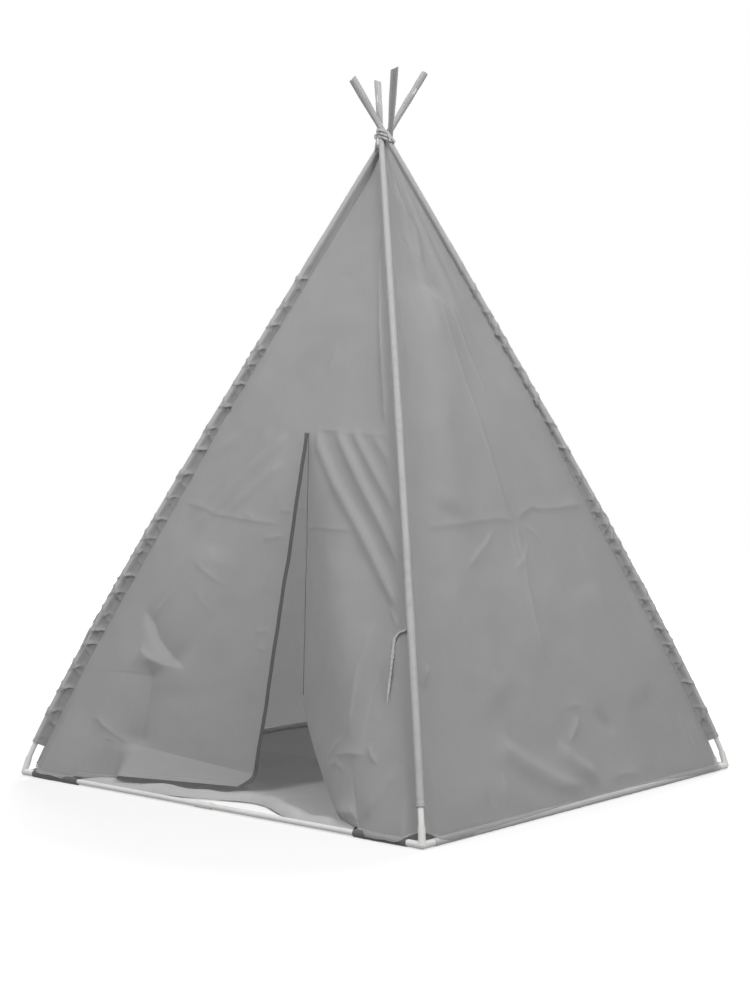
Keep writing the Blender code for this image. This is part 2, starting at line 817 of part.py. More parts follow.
def door_strip_grid(hand):
    """One half of the door panel: the strip beside the hinge, and half of the cloth above the slit."""
    runs = panel_runs(PANEL_ROWS)
    low = runs[0]
    span = runs[-1] - low
    apex = slit_apex()
    slit_run = (SLIT_TOP - RAIL_HEIGHT) / math.cos(pole_lean())
    slit_share = (slit_run - low) / span
    below = [(i / DOOR_ROWS_BELOW) ** DOOR_ROW_CROWDING * slit_share for i in range(DOOR_ROWS_BELOW + 1)]
    above = [slit_share + (1.0 - slit_share) * (i + 1) / DOOR_ROWS_ABOVE for i in range(DOOR_ROWS_ABOVE)]
    corner = -1 if hand < 0 else 0
    top = (seam_point(low + span, -1, -1) + seam_point(low + span, 0, 1)) / 2
    middle = apex - outward(strip_direction(hand), hand) * PANEL_CLOTH / 2
    middle.y = apex.y + PANEL_CLOTH / 2
    middle.x = apex.x

    def seam(row):
        return seam_point(low + span * row, corner, hand)

    def inner(row):
        if row < slit_share:
            return hinge_edge(hand, row / slit_share)
        return middle.lerp(top, (row - slit_share) / (1.0 - slit_share))

    foot_x = hinge_edge(hand, 0.0).x
    seam_x = edge_low_point(hand).x
    arch = arch_shares(abs(seam_x - foot_x))
    columns = arch + [arch[-1] + (1.0 - arch[-1]) * (i + 1) / STRIP_COLUMNS for i in range(STRIP_COLUMNS)]

    def bottom(column):
        if column == 1.0:
            return hinge_edge(hand, 0.0)
        return bottom_point(seam_x + (foot_x - seam_x) * column)

    grid = fill(seam, inner, bottom, below + above, columns)
    if hand > 0:
        grid = [list(reversed(line)) for line in grid]
    return grid


def add_door_panel(cloth):
    shape = bmesh.new()
    for hand in (-1, 1):
        add_grid(shape, door_strip_grid(hand))
    cloth_object("door_panel", shape, cloth, PANEL_CLOTH)


def flap_rows(hand):
    """Rows of a flap as (share up the hinge line, height of the free edge)."""
    apex = slit_apex()
    top = 1.0 - SLIT_GUSSET / apex.z
    low = FLAP_FOOT_LIFT / apex.z
    bend = top * CORNER_SPAN_SHARE
    corner = flap_corner_radius(hand)[1]
    rows = []
    for i in range(FLAP_CORNER_ROWS):
        share = i / FLAP_CORNER_ROWS
        rows.append((low + (bend - low) * share, corner * share))
    for i in range(FLAP_ROWS + 1):
        share = i / FLAP_ROWS
        height = corner + (apex.z * top - FLAP_HEM_HEIGHT - corner) * share
        rows.append((bend + (top - bend) * share, height))
    return rows


def flap_corner_radius(hand):
    """Half axes of a flap's rounded corner, along the hem and up the free edge."""
    return (FLAP_CORNER_RUN, FLAP_CORNER_RISE) if hand > 0 else (SMALL_CORNER, SMALL_CORNER)


def free_edge(hand, height):
    """Free edge of a flap at a height above its hem: straight down from the slit, then round into the hem."""
    apex = slit_apex()
    corner = flap_corner(hand)
    run, rise = flap_corner_radius(hand)
    share = height / (apex.z - corner.z)
    along_hem = (hinge_foot(hand) - corner).normalized()
    point = corner.lerp(apex, share) + Vector((hand * SLIT_GAP / 2, 0.0, 0.0))
    if height < rise:
        point += along_hem * run * (1.0 - math.sqrt(1.0 - (1.0 - height / rise) ** 2))
    return point


def flap_grid(hand):
    """Cloth of a hanging flap between its hinge line and its free edge."""
    direction = flap_direction(hand)
    back = outward(direction, hand) * PANEL_CLOTH / 2
    foot = hinge_foot(hand)
    apex = slit_apex()
    grid = []
    for share, height in flap_rows(hand):
        fixed = foot.lerp(apex, share) + direction * flap_inset(hand) - back
        loose = free_edge(hand, height) - back
        line = [fixed.lerp(loose, i / FLAP_COLUMNS) for i in range(FLAP_COLUMNS + 1)]
        grid.append(line if hand < 0 else line[::-1])
    return grid


def left_flap_folds(row, column):
    """The hem of the left flap kicks out below a fold that runs down towards its corner."""
    fold = HEM_FOLD_SHARE * (1.0 - HEM_FOLD_FALL_SHARE * column)
    return HEM_FOLD_KICK * ease(column / HEM_FOLD_START_SHARE) * max(0.0, 1.0 - row / fold)


def right_flap_folds(row, column):
    """Soft folds spread down from the slit's top, and the hem bulges out along the floor."""
    across = 1.0 - column
    swell = ease(across / FOLD_SIDE_SHARE) * ease(row / FOLD_HEM_SHARE) * ease((1.0 - row) / FOLD_TOP_SHARE)
    low = max(0.0, 1.0 - row / BULGE_HEIGHT_SHARE) ** 2
    bulge = FLAP_BULGE * math.sin(math.pi * min(across / BULGE_WIDTH_SHARE, 1.0)) * low
    return bulge + FLAP_FOLD_DEPTH * swell * math.sin(math.tau * FLAP_FOLDS * across)


def add_flap(hand, name, folds, cloth):
    """A door flap, with its origin on its hinge line."""
    shape = bmesh.new()
    add_grid(shape, push_out(flap_grid(hand), folds))
    foot = hinge_foot(hand)
    bmesh.ops.translate(shape, vec=-foot, verts=shape.verts)
    made = cloth_object(name, shape, cloth, PANEL_CLOTH)
    made.location = foot


# Floor: a ground sheet sewn to the channels that slide over the rails


def floor_outline():
    """Anticlockwise outline of the ground sheet: cut corners, and a slack front edge between its channels."""
    edge = HALF_SIDE - FLOOR_SEAM
    cut = HALF_SIDE - FLOOR_CORNER_CUT
    free = edge - FLOOR_FREE_EDGE
    points = [(edge, -cut), (edge, cut), (cut, edge), (-cut, edge), (-edge, cut), (-edge, -cut)]
    points.append((-cut, -edge))
    for i in range(FLOOR_EDGE_STEPS + 1):
        share = i / FLOOR_EDGE_STEPS
        x = DOOR_CHANNEL_END * (2 * share - 1)
        points.append((x, -free + (FLOOR_INSET - FLOOR_FREE_EDGE) * math.sin(math.pi * share) ** 2))
    points.append((cut, -edge))
    return points


def ground_sheet():
    shape = bmesh.new()
    lower = [shape.verts.new((x, y, 0.0)) for x, y in floor_outline()]
    pulled = bmesh.ops.extrude_face_region(shape, geom=[shape.faces.new(lower)])
    raised = [item for item in pulled["geom"] if isinstance(item, bmesh.types.BMVert)]
    bmesh.ops.translate(shape, vec=(0.0, 0.0, FLOOR_CLOTH), verts=raised)
    return helper("ground_sheet", shape)


def channel(face, start, end):
    """A sewn tube of cloth round a rail of one face."""
    shape = bmesh.new()
    stations = [quarter_turn(face) @ rail_station(run) for run in (start, end)]
    outer = [ring_points(station, circle_outline(SLEEVE_RADIUS, RAIL_SIDES)) for station in stations]
    inner = [ring_points(station, circle_outline(CHANNEL_RADIUS, RAIL_SIDES)) for station in stations]
    skin(shape, outer, inner)
    return helper("channel", shape)


def add_floor(cloth):
    end = HALF_SIDE - ARM_LENGTH - CLEARANCE
    channels = [channel(face, -end, end) for face in (1, 2, 3)]
    channels += [channel(0, -end, -DOOR_CHANNEL_END), channel(0, DOOR_CHANNEL_END, end)]
    mesh = combined("floor_sheet", ground_sheet(), [("UNION", made) for made in channels])
    add_object("floor_sheet", mesh, cloth)


# Top tie and tie-back ribbons


def flat_outline(width, thickness):
    """Flattened hexagon: a soft band seen end on."""
    half = width / 2
    shoulder = half - thickness / 2
    rise = thickness / 2
    upper = [(0.0, half), (rise, shoulder), (rise, -shoulder)]
    return upper + [(-across, -along) for across, along in upper]


def band_rings(points, facings, sizes):
    """Rings of a flat band along a path; its flat side looks along the facings."""
    rings = []
    for i, point in enumerate(points):
        ahead = points[min(i + 1, len(points) - 1)]
        behind = points[max(i - 1, 0)]
        rings.append(ring_points(station_on(point, ahead - behind, facings[i]), flat_outline(*sizes[i])))
    return rings


def hull_radius(angle, height):
    """Distance from the middle axis to a band round the four sleeves, at a height above their crossing."""
    rise = (pole_point(pole_length() + TIE_WIDTH) - pole_point(pole_length())).normalized().z
    pole = pole_point(pole_length() + height / rise)
    spread = math.hypot(pole.x, pole.y)
    around = SNUG_SLEEVE_RADIUS / rise + TIE_STANDOFF + TIE_THICKNESS / 2
    quarter = math.tau / 4
    off = (angle - math.atan2(pole.y, pole.x) + quarter / 2) % quarter - quarter / 2
    from_flat = quarter / 2 - abs(off)
    flat = spread * math.cos(quarter / 2) + around
    if flat * math.tan(from_flat) < spread * math.sin(quarter / 2):
        return flat / math.cos(from_flat)
    return spread * math.cos(off) + math.sqrt(around**2 - (spread * math.sin(off)) ** 2)


def band_radius(angle, height):
    """As hull_radius, over the whole width of the tie."""
    return max(hull_radius(angle, height + TIE_WIDTH / 2 * side) for side in (-1, 0, 1))


def around_axis(angle, height, lift=0.0):
    """Point beside the crossing, at an angle and height; lift moves it out from the sleeves."""
    radius = band_radius(angle, height) + lift
    crossing = RAIL_HEIGHT + CROSSING_HEIGHT
    return Vector((radius * math.cos(angle), radius * math.sin(angle), crossing + height))


def tie_end():
    """Angle and height at which the winding ends."""
    slant = TIE_SLANT * math.cos(math.tau * TIE_TURNS)
    return math.radians(TIE_START) + math.tau * TIE_TURNS, slant + TIE_PITCH * TIE_TURNS / 2


def short_tail():
    """From the end of the winding: round a bend and down over the turns, leaning along the winding."""
    angle, height = tie_end()
    radius = band_radius(angle, height)
    steep = math.radians(90 - SHORT_TAIL_LEAN)
    points = []
    for i in range(1, TAIL_STEPS + 1):
        turn = steep * i / TAIL_STEPS
        aside = SHORT_TAIL_BEND * math.sin(turn)
        drop = SHORT_TAIL_BEND * (1.0 - math.cos(turn))
        points.append(around_axis(angle + aside / radius, height - drop, SHORT_TAIL_LIFT * i / TAIL_STEPS))
    for i in range(1, TAIL_STEPS + 1):
        run = SHORT_TAIL * i / TAIL_STEPS
        far_angle = angle + (aside + run * math.cos(steep)) / radius
        points.append(around_axis(far_angle, height - drop - run * math.sin(steep), SHORT_TAIL_LIFT))
    return points


def tie_points():
    """Path of the top tie: the long tail, the slanting turns, then the short tail laid over them."""
    start = math.radians(TIE_START)
    count = round(TIE_TURNS * TIE_STEPS)
    wound = []
    for i in range(count + 1):
        turn = i / TIE_STEPS
        slant = TIE_SLANT * math.cos(math.tau * turn)
        wound.append(around_axis(start + math.tau * turn, slant + TIE_PITCH * (turn - TIE_TURNS / 2)))
    first = wound[0]
    aside = Vector((first.x, first.y, 0.0)).normalized()
    down = Vector((0.0, 0.0, -1.0))
    shares = [i / TAIL_STEPS for i in range(TAIL_STEPS, 0, -1)]
    tail = [first + aside * TIE_TAIL_STAND * share + down * TIE_TAIL * share for share in shares]
    return tail + wound + short_tail()


def least_gap(rings, apart):
    """Least distance between points of rings at least so many places apart along a band."""
    return min(
        (first - second).length
        for i, ring in enumerate(rings)
        for other in rings[i + apart :]
        for first in ring
        for second in other
    )


def knot():
    """The lump where the long tail is drawn under the first turn."""
    place = around_axis(math.radians(TIE_START), TIE_SLANT - TIE_PITCH * TIE_TURNS / 2, KNOT_STAND)
    shape = bmesh.new()
    bmesh.ops.create_uvsphere(shape, u_segments=KNOT_SIDES, v_segments=KNOT_SIDES // 2, radius=KNOT_RADIUS)
    bmesh.ops.scale(shape, vec=(1.0, 1.0, KNOT_STRETCH), verts=shape.verts)
    bmesh.ops.translate(shape, vec=place, verts=shape.verts)
    return helper("knot", shape)


def add_top_tie(ribbon):
    points = tie_points()
    facings = [Vector((-point.x, -point.y, 0.0)) for point in points]
    rings = band_rings(points, facings, [(TIE_WIDTH, TIE_THICKNESS)] * len(points))
    print(f"least gap of the top tie to itself: {least_gap(rings, TIE_STEPS // 2) * 1000:.2f} mm")
    shape = bmesh.new()
    skin(shape, rings)
    bmesh.ops.triangulate(shape, faces=shape.faces)
    add_object("top_tie", combined("top_tie", helper("tie_band", shape), [("UNION", knot())]), ribbon)


def door_surface(hand, height, from_seam, standoff):
    """Point before the door panel beside a pole: at a height, a distance in from the seam, off the cloth."""
    run = (height - RAIL_HEIGHT) / math.cos(pole_lean())
    seam = seam_point(run, -1 if hand < 0 else 0, hand)
    edge = hinge_edge(hand, (height - RAIL_HEIGHT) / (SLIT_TOP - RAIL_HEIGHT))
    normal = outward(strip_direction(hand), hand)
    return seam + (edge - seam).normalized() * from_seam + normal * (PANEL_CLOTH / 2 + standoff)


def right_ribbon():
    """Points and flat directions of the right tie-back ribbon: out, over a bend and down, twisting."""
    exit_height, exit_side = RIGHT_RIBBON_EXIT
    bend_height, bend_side = RIGHT_RIBBON_BEND
    end_height, end_side = RIGHT_RIBBON_END
    away = -strip_direction(1)
    points = []
    facings = []
    stand = RIBBON_WIDTH / 2 + 2 * CLEARANCE
    for i in range(RIBBON_STEPS + 1):
        share = i / RIBBON_STEPS
        to_bend = min(share / RIBBON_BEND_SHARE, 1.0)
        past_bend = max(share - RIBBON_BEND_SHARE, 0.0) / (1.0 - RIBBON_BEND_SHARE)
        rise = (bend_height - exit_height) * to_bend**2 + (end_height - bend_height) * past_bend
        side = exit_side + (bend_side - exit_side) * to_bend + (end_side - bend_side) * past_bend
        points.append(door_surface(1, exit_height + rise, side, stand))
        lying = Vector((0.0, 0.0, 1.0)).lerp(away, ease(to_bend / 2 + past_bend))
        turn = math.tau * RIBBON_TWISTS * past_bend
        facings.append(Matrix.Rotation(turn, 3, "Z") @ lying)
    return points, facings


def left_ribbon():
    """Points and flat directions of the left tie-back ribbon, laid round its pole's sleeve and down."""
    points = []
    facings = []
    for i in range(RIBBON_STEPS + 1):
        share = i / RIBBON_STEPS
        station = quarter_turn(3) @ pole_station(LEFT_RIBBON_RUN - LEFT_RIBBON_DROP * share**LEFT_RIBBON_EASE)
        angle = math.radians(LEFT_RIBBON_ANGLE + LEFT_RIBBON_WRAP * share)
        out = Vector((math.cos(angle), math.sin(angle), 0.0))
        points.append(station @ (out * (SLEEVE_RADIUS + RIBBON_THICKNESS)))
        facings.append(station.to_3x3() @ -out)
    return points, facings


def add_ribbon(name, route, ribbon):
    points, facings = route
    length = sum((b - a).length for a, b in zip(points, points[1:]))
    print(f"{name}: {length * 1000:.0f} mm long")
    shape = bmesh.new()
    skin(shape, band_rings(points, facings, [(RIBBON_WIDTH, RIBBON_THICKNESS)] * len(points)))
    bmesh.ops.triangulate(shape, faces=shape.faces)
    add_object(name, mesh_from(shape, name), ribbon)


def main():
    clear_scene()
    plastic = white_plastic()
    cloth = grey_polyester()
    add_corner_connectors(plastic)
    add_rails(plastic)
    add_pole_tubes(plastic)
    add_pole_couplers(plastic)
    add_pole_sleeves(cloth)
    add_plain_walls(cloth)
    add_door_panel(cloth)
    add_flap(-1, "left_door_flap", left_flap_folds, cloth)
    add_flap(1, "right_door_flap", right_flap_folds, cloth)
    add_floor(dark_floor_cloth())
    ribbon = grey_ribbon()
    add_top_tie(ribbon)
    add_ribbon("right_tie_back_ribbon", right_ribbon(), ribbon)
    add_ribbon("left_tie_back_ribbon", left_ribbon(), ribbon)


main()
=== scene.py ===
import json
import math

import bmesh
import bpy
import numpy as np
from bpy.props import FloatProperty, PointerProperty, StringProperty
from mathutils import Matrix, Vector, noise

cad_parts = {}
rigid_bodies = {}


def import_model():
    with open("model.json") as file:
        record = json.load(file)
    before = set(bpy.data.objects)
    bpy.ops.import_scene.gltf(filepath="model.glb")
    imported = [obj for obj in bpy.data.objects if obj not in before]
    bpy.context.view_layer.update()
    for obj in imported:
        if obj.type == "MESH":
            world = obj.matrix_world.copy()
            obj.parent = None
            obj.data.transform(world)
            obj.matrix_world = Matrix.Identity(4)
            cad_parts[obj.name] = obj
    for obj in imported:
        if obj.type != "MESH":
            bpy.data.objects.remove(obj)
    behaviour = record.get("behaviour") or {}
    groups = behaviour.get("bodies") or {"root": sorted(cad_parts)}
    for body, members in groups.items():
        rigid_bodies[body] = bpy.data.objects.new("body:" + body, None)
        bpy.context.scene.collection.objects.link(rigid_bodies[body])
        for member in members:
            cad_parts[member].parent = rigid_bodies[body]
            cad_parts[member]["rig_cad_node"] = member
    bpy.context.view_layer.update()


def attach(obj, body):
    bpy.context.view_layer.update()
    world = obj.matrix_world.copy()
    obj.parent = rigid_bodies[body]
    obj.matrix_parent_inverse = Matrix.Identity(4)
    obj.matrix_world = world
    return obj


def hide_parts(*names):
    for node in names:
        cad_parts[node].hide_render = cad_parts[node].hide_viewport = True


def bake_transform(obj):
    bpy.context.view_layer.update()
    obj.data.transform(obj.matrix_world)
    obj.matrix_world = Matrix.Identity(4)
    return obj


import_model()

bl_info = {
    "name": "Kids Teepee",
    "version": (1, 0, 0),
    "blender": (4, 5, 0),
    "location": "3D View > Sidebar > Teepee",
    "description": "Dresses the teepee's frame and cover with cloth, hems, folds and a plain studio",
    "category": "Object",
}

# Sizes of the frame and the cover that the part's source holds too, in metres and degrees
HALF_SIDE = 0.600
CROSSING_HEIGHT = 1.514
POLE_OVERRUN = 0.140
POLE_BOW = 0.026
BOW_SKEW_SHARE = 0.6
POLE_SECTIONS = 4
SOCKET_FLOOR = 0.009
ARM_LENGTH = 0.036
CLEARANCE = 0.0003
SLEEVE_RADIUS = 0.0082
SNUG_SLEEVE_RADIUS = 0.0069
RAIL_HEIGHT = 0.0082
SLEEVE_START = 0.073
PANEL_CLOTH = 0.0012
ARCH_RUN = 0.051
ARCH_RISE = 0.016
DOOR_FOOT = 0.428
SLIT_TOP = 0.817
SLIT_OFFSET = 0.007
SLIT_SINK = 0.007
SLIT_GAP = 0.0016
LEFT_FLAP_TUCK = 0.132
LEFT_FLAP_ASIDE = -0.032
RIGHT_FLAP_TUCK = 0.070
RIGHT_FLAP_ASIDE = 0.054
FLAP_HEM_HEIGHT = 0.010
SMALL_CORNER = 0.016
CORNER_SPAN_SHARE = 0.34
DOOR_CHANNEL_END = 0.408
FLOOR_INSET = 0.046
FLOOR_CORNER_CUT = 0.052
RIBBON_WIDTH = 0.0080
RIBBON_THICKNESS = 0.0010
TIE_WIDTH = 0.0060
TIE_THICKNESS = 0.0012
TIE_STANDOFF = 0.0009
TIE_TURNS = 2.25
TIE_PITCH = 0.0080
TIE_SLANT = 0.0095
TIE_START = 225

# Sizes of the cover's cloth in this script alone: the seams' place beside the poles, where the walls end
# below the tie and meet the rail, the curve of their foot arches, the right flap's large rounded corner and
# its curve, and the width of the ground sheet's front hem
SEAM_ASIDE = 0.0015
PANEL_TOP_DROP = 0.012
PANEL_FOOT_HEIGHT = 0.0170
PANEL_FOOT_SETBACK = 0.0012
ARCH_POWER = 1.8
FLAP_CORNER_RUN = 0.330
FLAP_CORNER_RISE = 0.200
CORNER_POWER = 1.25
FRONT_HEM_WIDTH = 0.060

# The sleeves' cloth round each pole, in the order of CORNER_NAMES: how far it reaches inwards of the pole's
# axis near the ground and near the tie, and how far it runs on beyond the tie
LOW_REACH = (0.0215, 0.0235, 0.0220, 0.0265)
HIGH_REACH = (0.0170, 0.0125, 0.0180, 0.0205)
SLEEVE_OVERRUN = (0.180, 0.160, 0.175, 0.185)

# All four sleeves: between which distances up the pole the first reach turns into the second, the reach and
# the length of the part drawn tight by the tie, the radii of the loose cloth and of the cloth over a coupler,
# and half the length that a coupler holds up
REACH_CHANGE = (0.70, 1.00)
TIED_REACH = 0.0078
TIED_RUN = 0.110
LOOSE_SLEEVE_RADIUS = 0.0074
COUPLER_SLEEVE_RADIUS = 0.0081
COUPLER_HALF = 0.028

# How bright thin and thick threads are, as shares of the cloth's colour
THIN_THREAD = 0.94
THICK_THREAD = 1.03

# How finely the cloths are divided: rings of a sleeve, rows and columns of a wall, and rows of a door half
SLEEVE_RINGS = 760
WALL_ROWS = 320
WALL_COLUMNS = 240
DOOR_HALF_ROWS = 300

# Shares up a wall and up a door half at which the close rows of the hem lie and the plain rows begin, and the
# same for the end of the plain rows and the close rows at the top of the slit
WALL_HEM_ROWS = (0.0, 0.0022, 0.0044, 0.0060, 0.0068, 0.0076)
WALL_PLAIN_START = 0.0090
WALL_ROW_CROWDING = 1.03
DOOR_HEM_ROWS = (0.0, 0.0040, 0.0080, 0.0115, 0.0130, 0.0145)
DOOR_PLAIN_ROWS = (0.018, 0.985)
SLIT_TOP_ROWS = (0.990, 0.995, 1.0)

# Gathers along the sleeves: their height, the least distance from one to the next and how much it varies,
# and the least length of one along the pole and how much it varies
GATHER_HEIGHT = 0.0052
GATHER_PITCH = (0.013, 0.026)
GATHER_LENGTH = (0.006, 0.010)
GATHER_SLANT = 0.014
GATHER_TOP = 1.30
GATHER_FADE = 0.12

# Other forms of the sleeves' cloth: slow and quick unevenness, the crumples' height, the valley beside the
# seam, the stitch line above the hem as depth and width, and the slope at the ends of a coupler
SLEEVE_WAVES = (0.0011, 0.0006)
CRUMPLE_HEIGHT = 0.0016
SEAM_VALLEY = 0.0012
STITCH_DEPTH = 0.0006
STITCH_WIDTH = 0.0016
COUPLER_SLOPE = 0.030

# Each sleeve's cloth, in the order of CORNER_NAMES: the seed of its gathers, how lively they are, the turn at
# which its cut end is highest, and how deep the cut end slants
SLEEVE_CLOTHS = (
    (1.3, 0.35, 0.9, 0.011),
    (2.9, 1.00, 3.6, 0.005),
    (5.1, 0.90, 1.0, 0.010),
    (7.7, 1.25, 5.2, 0.004),
)

# How each sleeve's empty end is pressed flat: shares of its width and of its depth, and its turn in radians
TAIL_SHAPES = ((1.20, 0.85, 0.9), (1.50, 1.15, 2.3), (1.30, 0.95, 1.2), (1.16, 0.84, 0.5))

# How strongly the lines of the fold tables show: creases and soft folds on the walls, and creases on the
# door. Then the folds that fan out from the tie, with their broad and fine waves, the length over which a
# fold dies out at its ends, and the widths beside the seams that stay calm on the walls and on the door
CREASE_STRENGTH = 2.4
FOLD_STRENGTH = 1.4
DOOR_CREASE_STRENGTH = 1.3
FAN_HEIGHT = 0.0022
FAN_FALL = 0.95
FAN_WAVES = (31.0, 57.0)
FOLD_END = 0.045
SIDE_CALM = 0.04
DOOR_SIDE_CALM = 0.035

# Broad and fine unevenness of the cloths, each as the size of its waves and their height
WALL_RUMPLES = ((0.17, 0.0045), (0.055, 0.0017))
DOOR_RUMPLES = ((0.16, 0.0040), (0.055, 0.0016))
GROUND_RUMPLES = ((0.11, 0.0045), (0.04, 0.0016))

# The door's loose cloth: the way its folds lift, the fold line above the left half's turned-out hem, its
# slope, how far the right half's foot bellies out, the rounding over the hinge line, and the tape's rise
DOOR_OUT = (0.0, -0.93, 0.37)
KICK_LINE = ((-0.308, 0.100), (-0.218, 0.080), (-0.016, 0.039))
KICK_SLOPE = 0.60
RIGHT_BULGE = 0.026
HINGE_ROUND = 0.055
TAPE_RISE = 0.0005

# Binding tapes of the two flaps' free edges: name, side, width, and the row of the cloth at which it begins
DOOR_TAPES = (("left", -1, 0.0095, 0), ("right", 1, 0.0040, 110))

# Tie-back ribbons: heights and distances from the front pole's seam at the start, the bend and the end
RIBBON_HEIGHTS = (0.400, 0.382, 0.258)
RIBBON_SIDES = (0.006, 0.038, 0.066)
RIBBON_BEND_SHARE = 0.25
RIBBON_POINT_SHARE = 0.72
LEFT_RIBBON_START = 0.420
LEFT_RIBBON_FALL = 0.110

# Ground sheet: its height over the ground, its gap to the base's outline, and where its front is pulled back
GROUND_LIFT = 0.0016
GROUND_GAP = 0.006
PULLED_PLACE = 0.06
PULLED_WIDTH = 0.11
PULLED_DEPTH = 0.050
FRONT_HEM_LIFT = 0.0034
FRONT_HEM_TALL = 0.0150
RIGHT_CHANNEL_LATE = 0.020
CHANNEL_BUNCH = 0.0018
CHANNEL_THICKNESS = 0.0006

# Top tie: its hanging tail, the bend of its short ends, and its knot
TAIL_FALL = 0.036
TAIL_ASIDE = 0.004
TAIL_CURL = 0.0030
END_BEND = 0.0055
END_LIFT = 0.0030
KNOT_RADIUS = 0.0040
KNOT_STRETCH = 1.7
KNOT_LIFT = 0.0031

# Camera, fitted to the photograph's view, and the light of the studio: place, size and watts of each lamp
LENS_LENGTH = 64.67
SENSOR_WIDTH = 36.0
CAMERA_PLACE = (2.7475, -3.3242, 0.7727)
CAMERA_TURN = (math.pi / 2 - 0.0272, -0.0067, 0.6954)
LAMPS = (
    ("key_light", (-0.4, -3.6, 4.4), 1.6, 100.0),
    ("side_light", (2.8, -0.8, 3.4), 1.4, 76.0),
    ("back_light", (-1.6, 3.4, 4.2), 2.0, 260.0),
)
LAMP_AIM = (0.0, 0.0, 0.7)
WORLD_LIGHT = 0.42
FLOOR_REACH = 9.0
FLOOR_GREY = 0.35
FLOOR_GLOW = {"From Min": 1.0, "From Max": 2.6, "To Min": 0.60, "To Max": 1.0}

MERGE_DISTANCE = 0.00001
CORNER_NAMES = ("front", "right", "back", "left")
FACE_NAMES = ("door", "right", "back", "left")
WHITE = (1.0, 1.0, 1.0, 1.0)


class TeepeeSizes(bpy.types.PropertyGroup):
    """Sizes of the cloth work that a maker would change."""

    cloth_thickness: FloatProperty(
        name="Cloth thickness", description="Thickness of the cover's cloth", default=0.0008, unit="LENGTH"
    )
    hem_width: FloatProperty(
        name="Hem width", description="Width of the turned and stitched hems", default=0.011, unit="LENGTH"
    )
    hem_rise: FloatProperty(
        name="Hem rise", description="How far a hem stands off the cloth", default=0.0007, unit="LENGTH"
    )
    gather_scale: FloatProperty(
        name="Gather scale", description="Strength of the sleeves' gathers", default=1.0, min=0.0, max=2.0
    )
    fold_scale: FloatProperty(
        name="Fold scale", description="Strength of the folds and creases", default=1.0, min=0.0, max=2.0
    )


class TeepeeColours(bpy.types.PropertyGroup):
    """Colours of the materials, as sRGB hex values."""

    plastic: StringProperty(name="Plastic", description="Tubes, couplers and connectors", default="#E2E2E0")
    cover: StringProperty(name="Cover", description="Cloth of the walls and door", default="#A9A9A9")
    loose: StringProperty(name="Loose sleeve", description="Sleeve cloth over a hollow", default="#A0A0A0")
    sleeve: StringProperty(name="Tight sleeve", description="Sleeve cloth on a white pole", default="#B4B4B4")
    floor: StringProperty(name="Ground sheet", description="Cloth of the ground sheet", default="#B4B4B4")
    channel: StringProperty(name="Channels", description="Cloth round the base tubes", default="#BCBCBC")
    # The tape's dark colour also paints the channels on the door side, as painted shade for the shadow at the
    # door's foot.
    tape: StringProperty(name="Binding tape", description="Tape on the door's free edges", default="#565656")
    ribbon: StringProperty(name="Ribbon", description="Top tie and tie-back ribbons", default="#B8B8B8")


# Materials


def linear(code):
    """An sRGB hex colour as linear RGBA."""
    parts = [int(code[i : i + 2], 16) / 255 for i in (1, 3, 5)]
    return (*[p / 12.92 if p <= 0.04045 else ((p + 0.055) / 1.055) ** 2.4 for p in parts], 1.0)


def add_node(tree, kind, settings=None, values=None, links=None):
    """Adds a node, with its settings, its socket values and its incoming links."""
    made = tree.nodes.new(kind)
    for name, value in (settings or {}).items():
        setattr(made, name, value)
    for name, value in (values or {}).items():
        made.inputs[name].default_value = value
    for name, (source, socket) in (links or {}).items():
        tree.links.new(source.outputs[socket], made.inputs[name])
    return made


def new_surface(name, roughness, ior):
    """A material with its shader ready."""
    made = bpy.data.materials.new(name)
    made.use_nodes = True
    shader = made.node_tree.nodes["Principled BSDF"]
    shader.inputs["Roughness"].default_value = roughness
    shader.inputs["IOR"].default_value = ior
    return made, made.node_tree, shader


def ramp_between(tree, source, socket, low, high, dark, light):
    """A colour ramp from a dark to a light colour over part of a pattern's range."""
    ramp = add_node(tree, "ShaderNodeValToRGB", links={"Fac": (source, socket)})
    ramp.color_ramp.elements[0].position = low
    ramp.color_ramp.elements[0].color = dark
    ramp.color_ramp.elements[1].position = high
    ramp.color_ramp.elements[1].color = light
    return ramp


def shade(colour, share):
    """A linear colour made darker or lighter by a share."""
    return (*[min(channel * share, 1.0) for channel in colour[:3]], 1.0)


def noise_pattern(tree, source, socket, scale, detail, roughness=0.5):
    """An uneven pattern, with about as many patches to the metre as its scale."""
    values = {"Scale": scale, "Detail": detail, "Roughness": roughness}
    return add_node(tree, "ShaderNodeTexNoise", values=values, links={"Vector": (source, socket)})


def bump_of(tree, source, socket, strength, distance, before=None):
    """A bump from a pattern, laid over the bump that comes before it."""
    links = {"Height": (source, socket)}
    if before:
        links["Normal"] = (before, "Normal")
    return add_node(tree, "ShaderNodeBump", values={"Strength": strength, "Distance": distance}, links=links)


def moulded_polypropylene(name, code):
    """Extruded and moulded polypropylene: satin white, a faint haze of handling marks and a fine grain."""
    made, tree, shader = new_surface(name, 0.36, 1.49)
    place = add_node(tree, "ShaderNodeTexCoord")
    colour = linear(code)
    haze = noise_pattern(tree, place, "Object", 14.0, 3.0)
    tint = ramp_between(tree, haze, "Fac", 0.35, 0.7, shade(colour, 0.93), colour)
    tree.links.new(tint.outputs["Color"], shader.inputs["Base Color"])
    marks = noise_pattern(tree, place, "Object", 90.0, 4.0)
    worn = add_node(
        tree,
        "ShaderNodeMapRange",
        values={"From Min": 0.3, "From Max": 0.7, "To Min": 0.30, "To Max": 0.46},
        links={"Value": (marks, "Fac")},
    )
    tree.links.new(worn.outputs["Result"], shader.inputs["Roughness"])
    grain = noise_pattern(tree, place, "Object", 700.0, 2.0)
    bump = bump_of(tree, grain, "Fac", 0.12, 0.0002)
    tree.links.new(bump.outputs["Normal"], shader.inputs["Normal"])
    return made


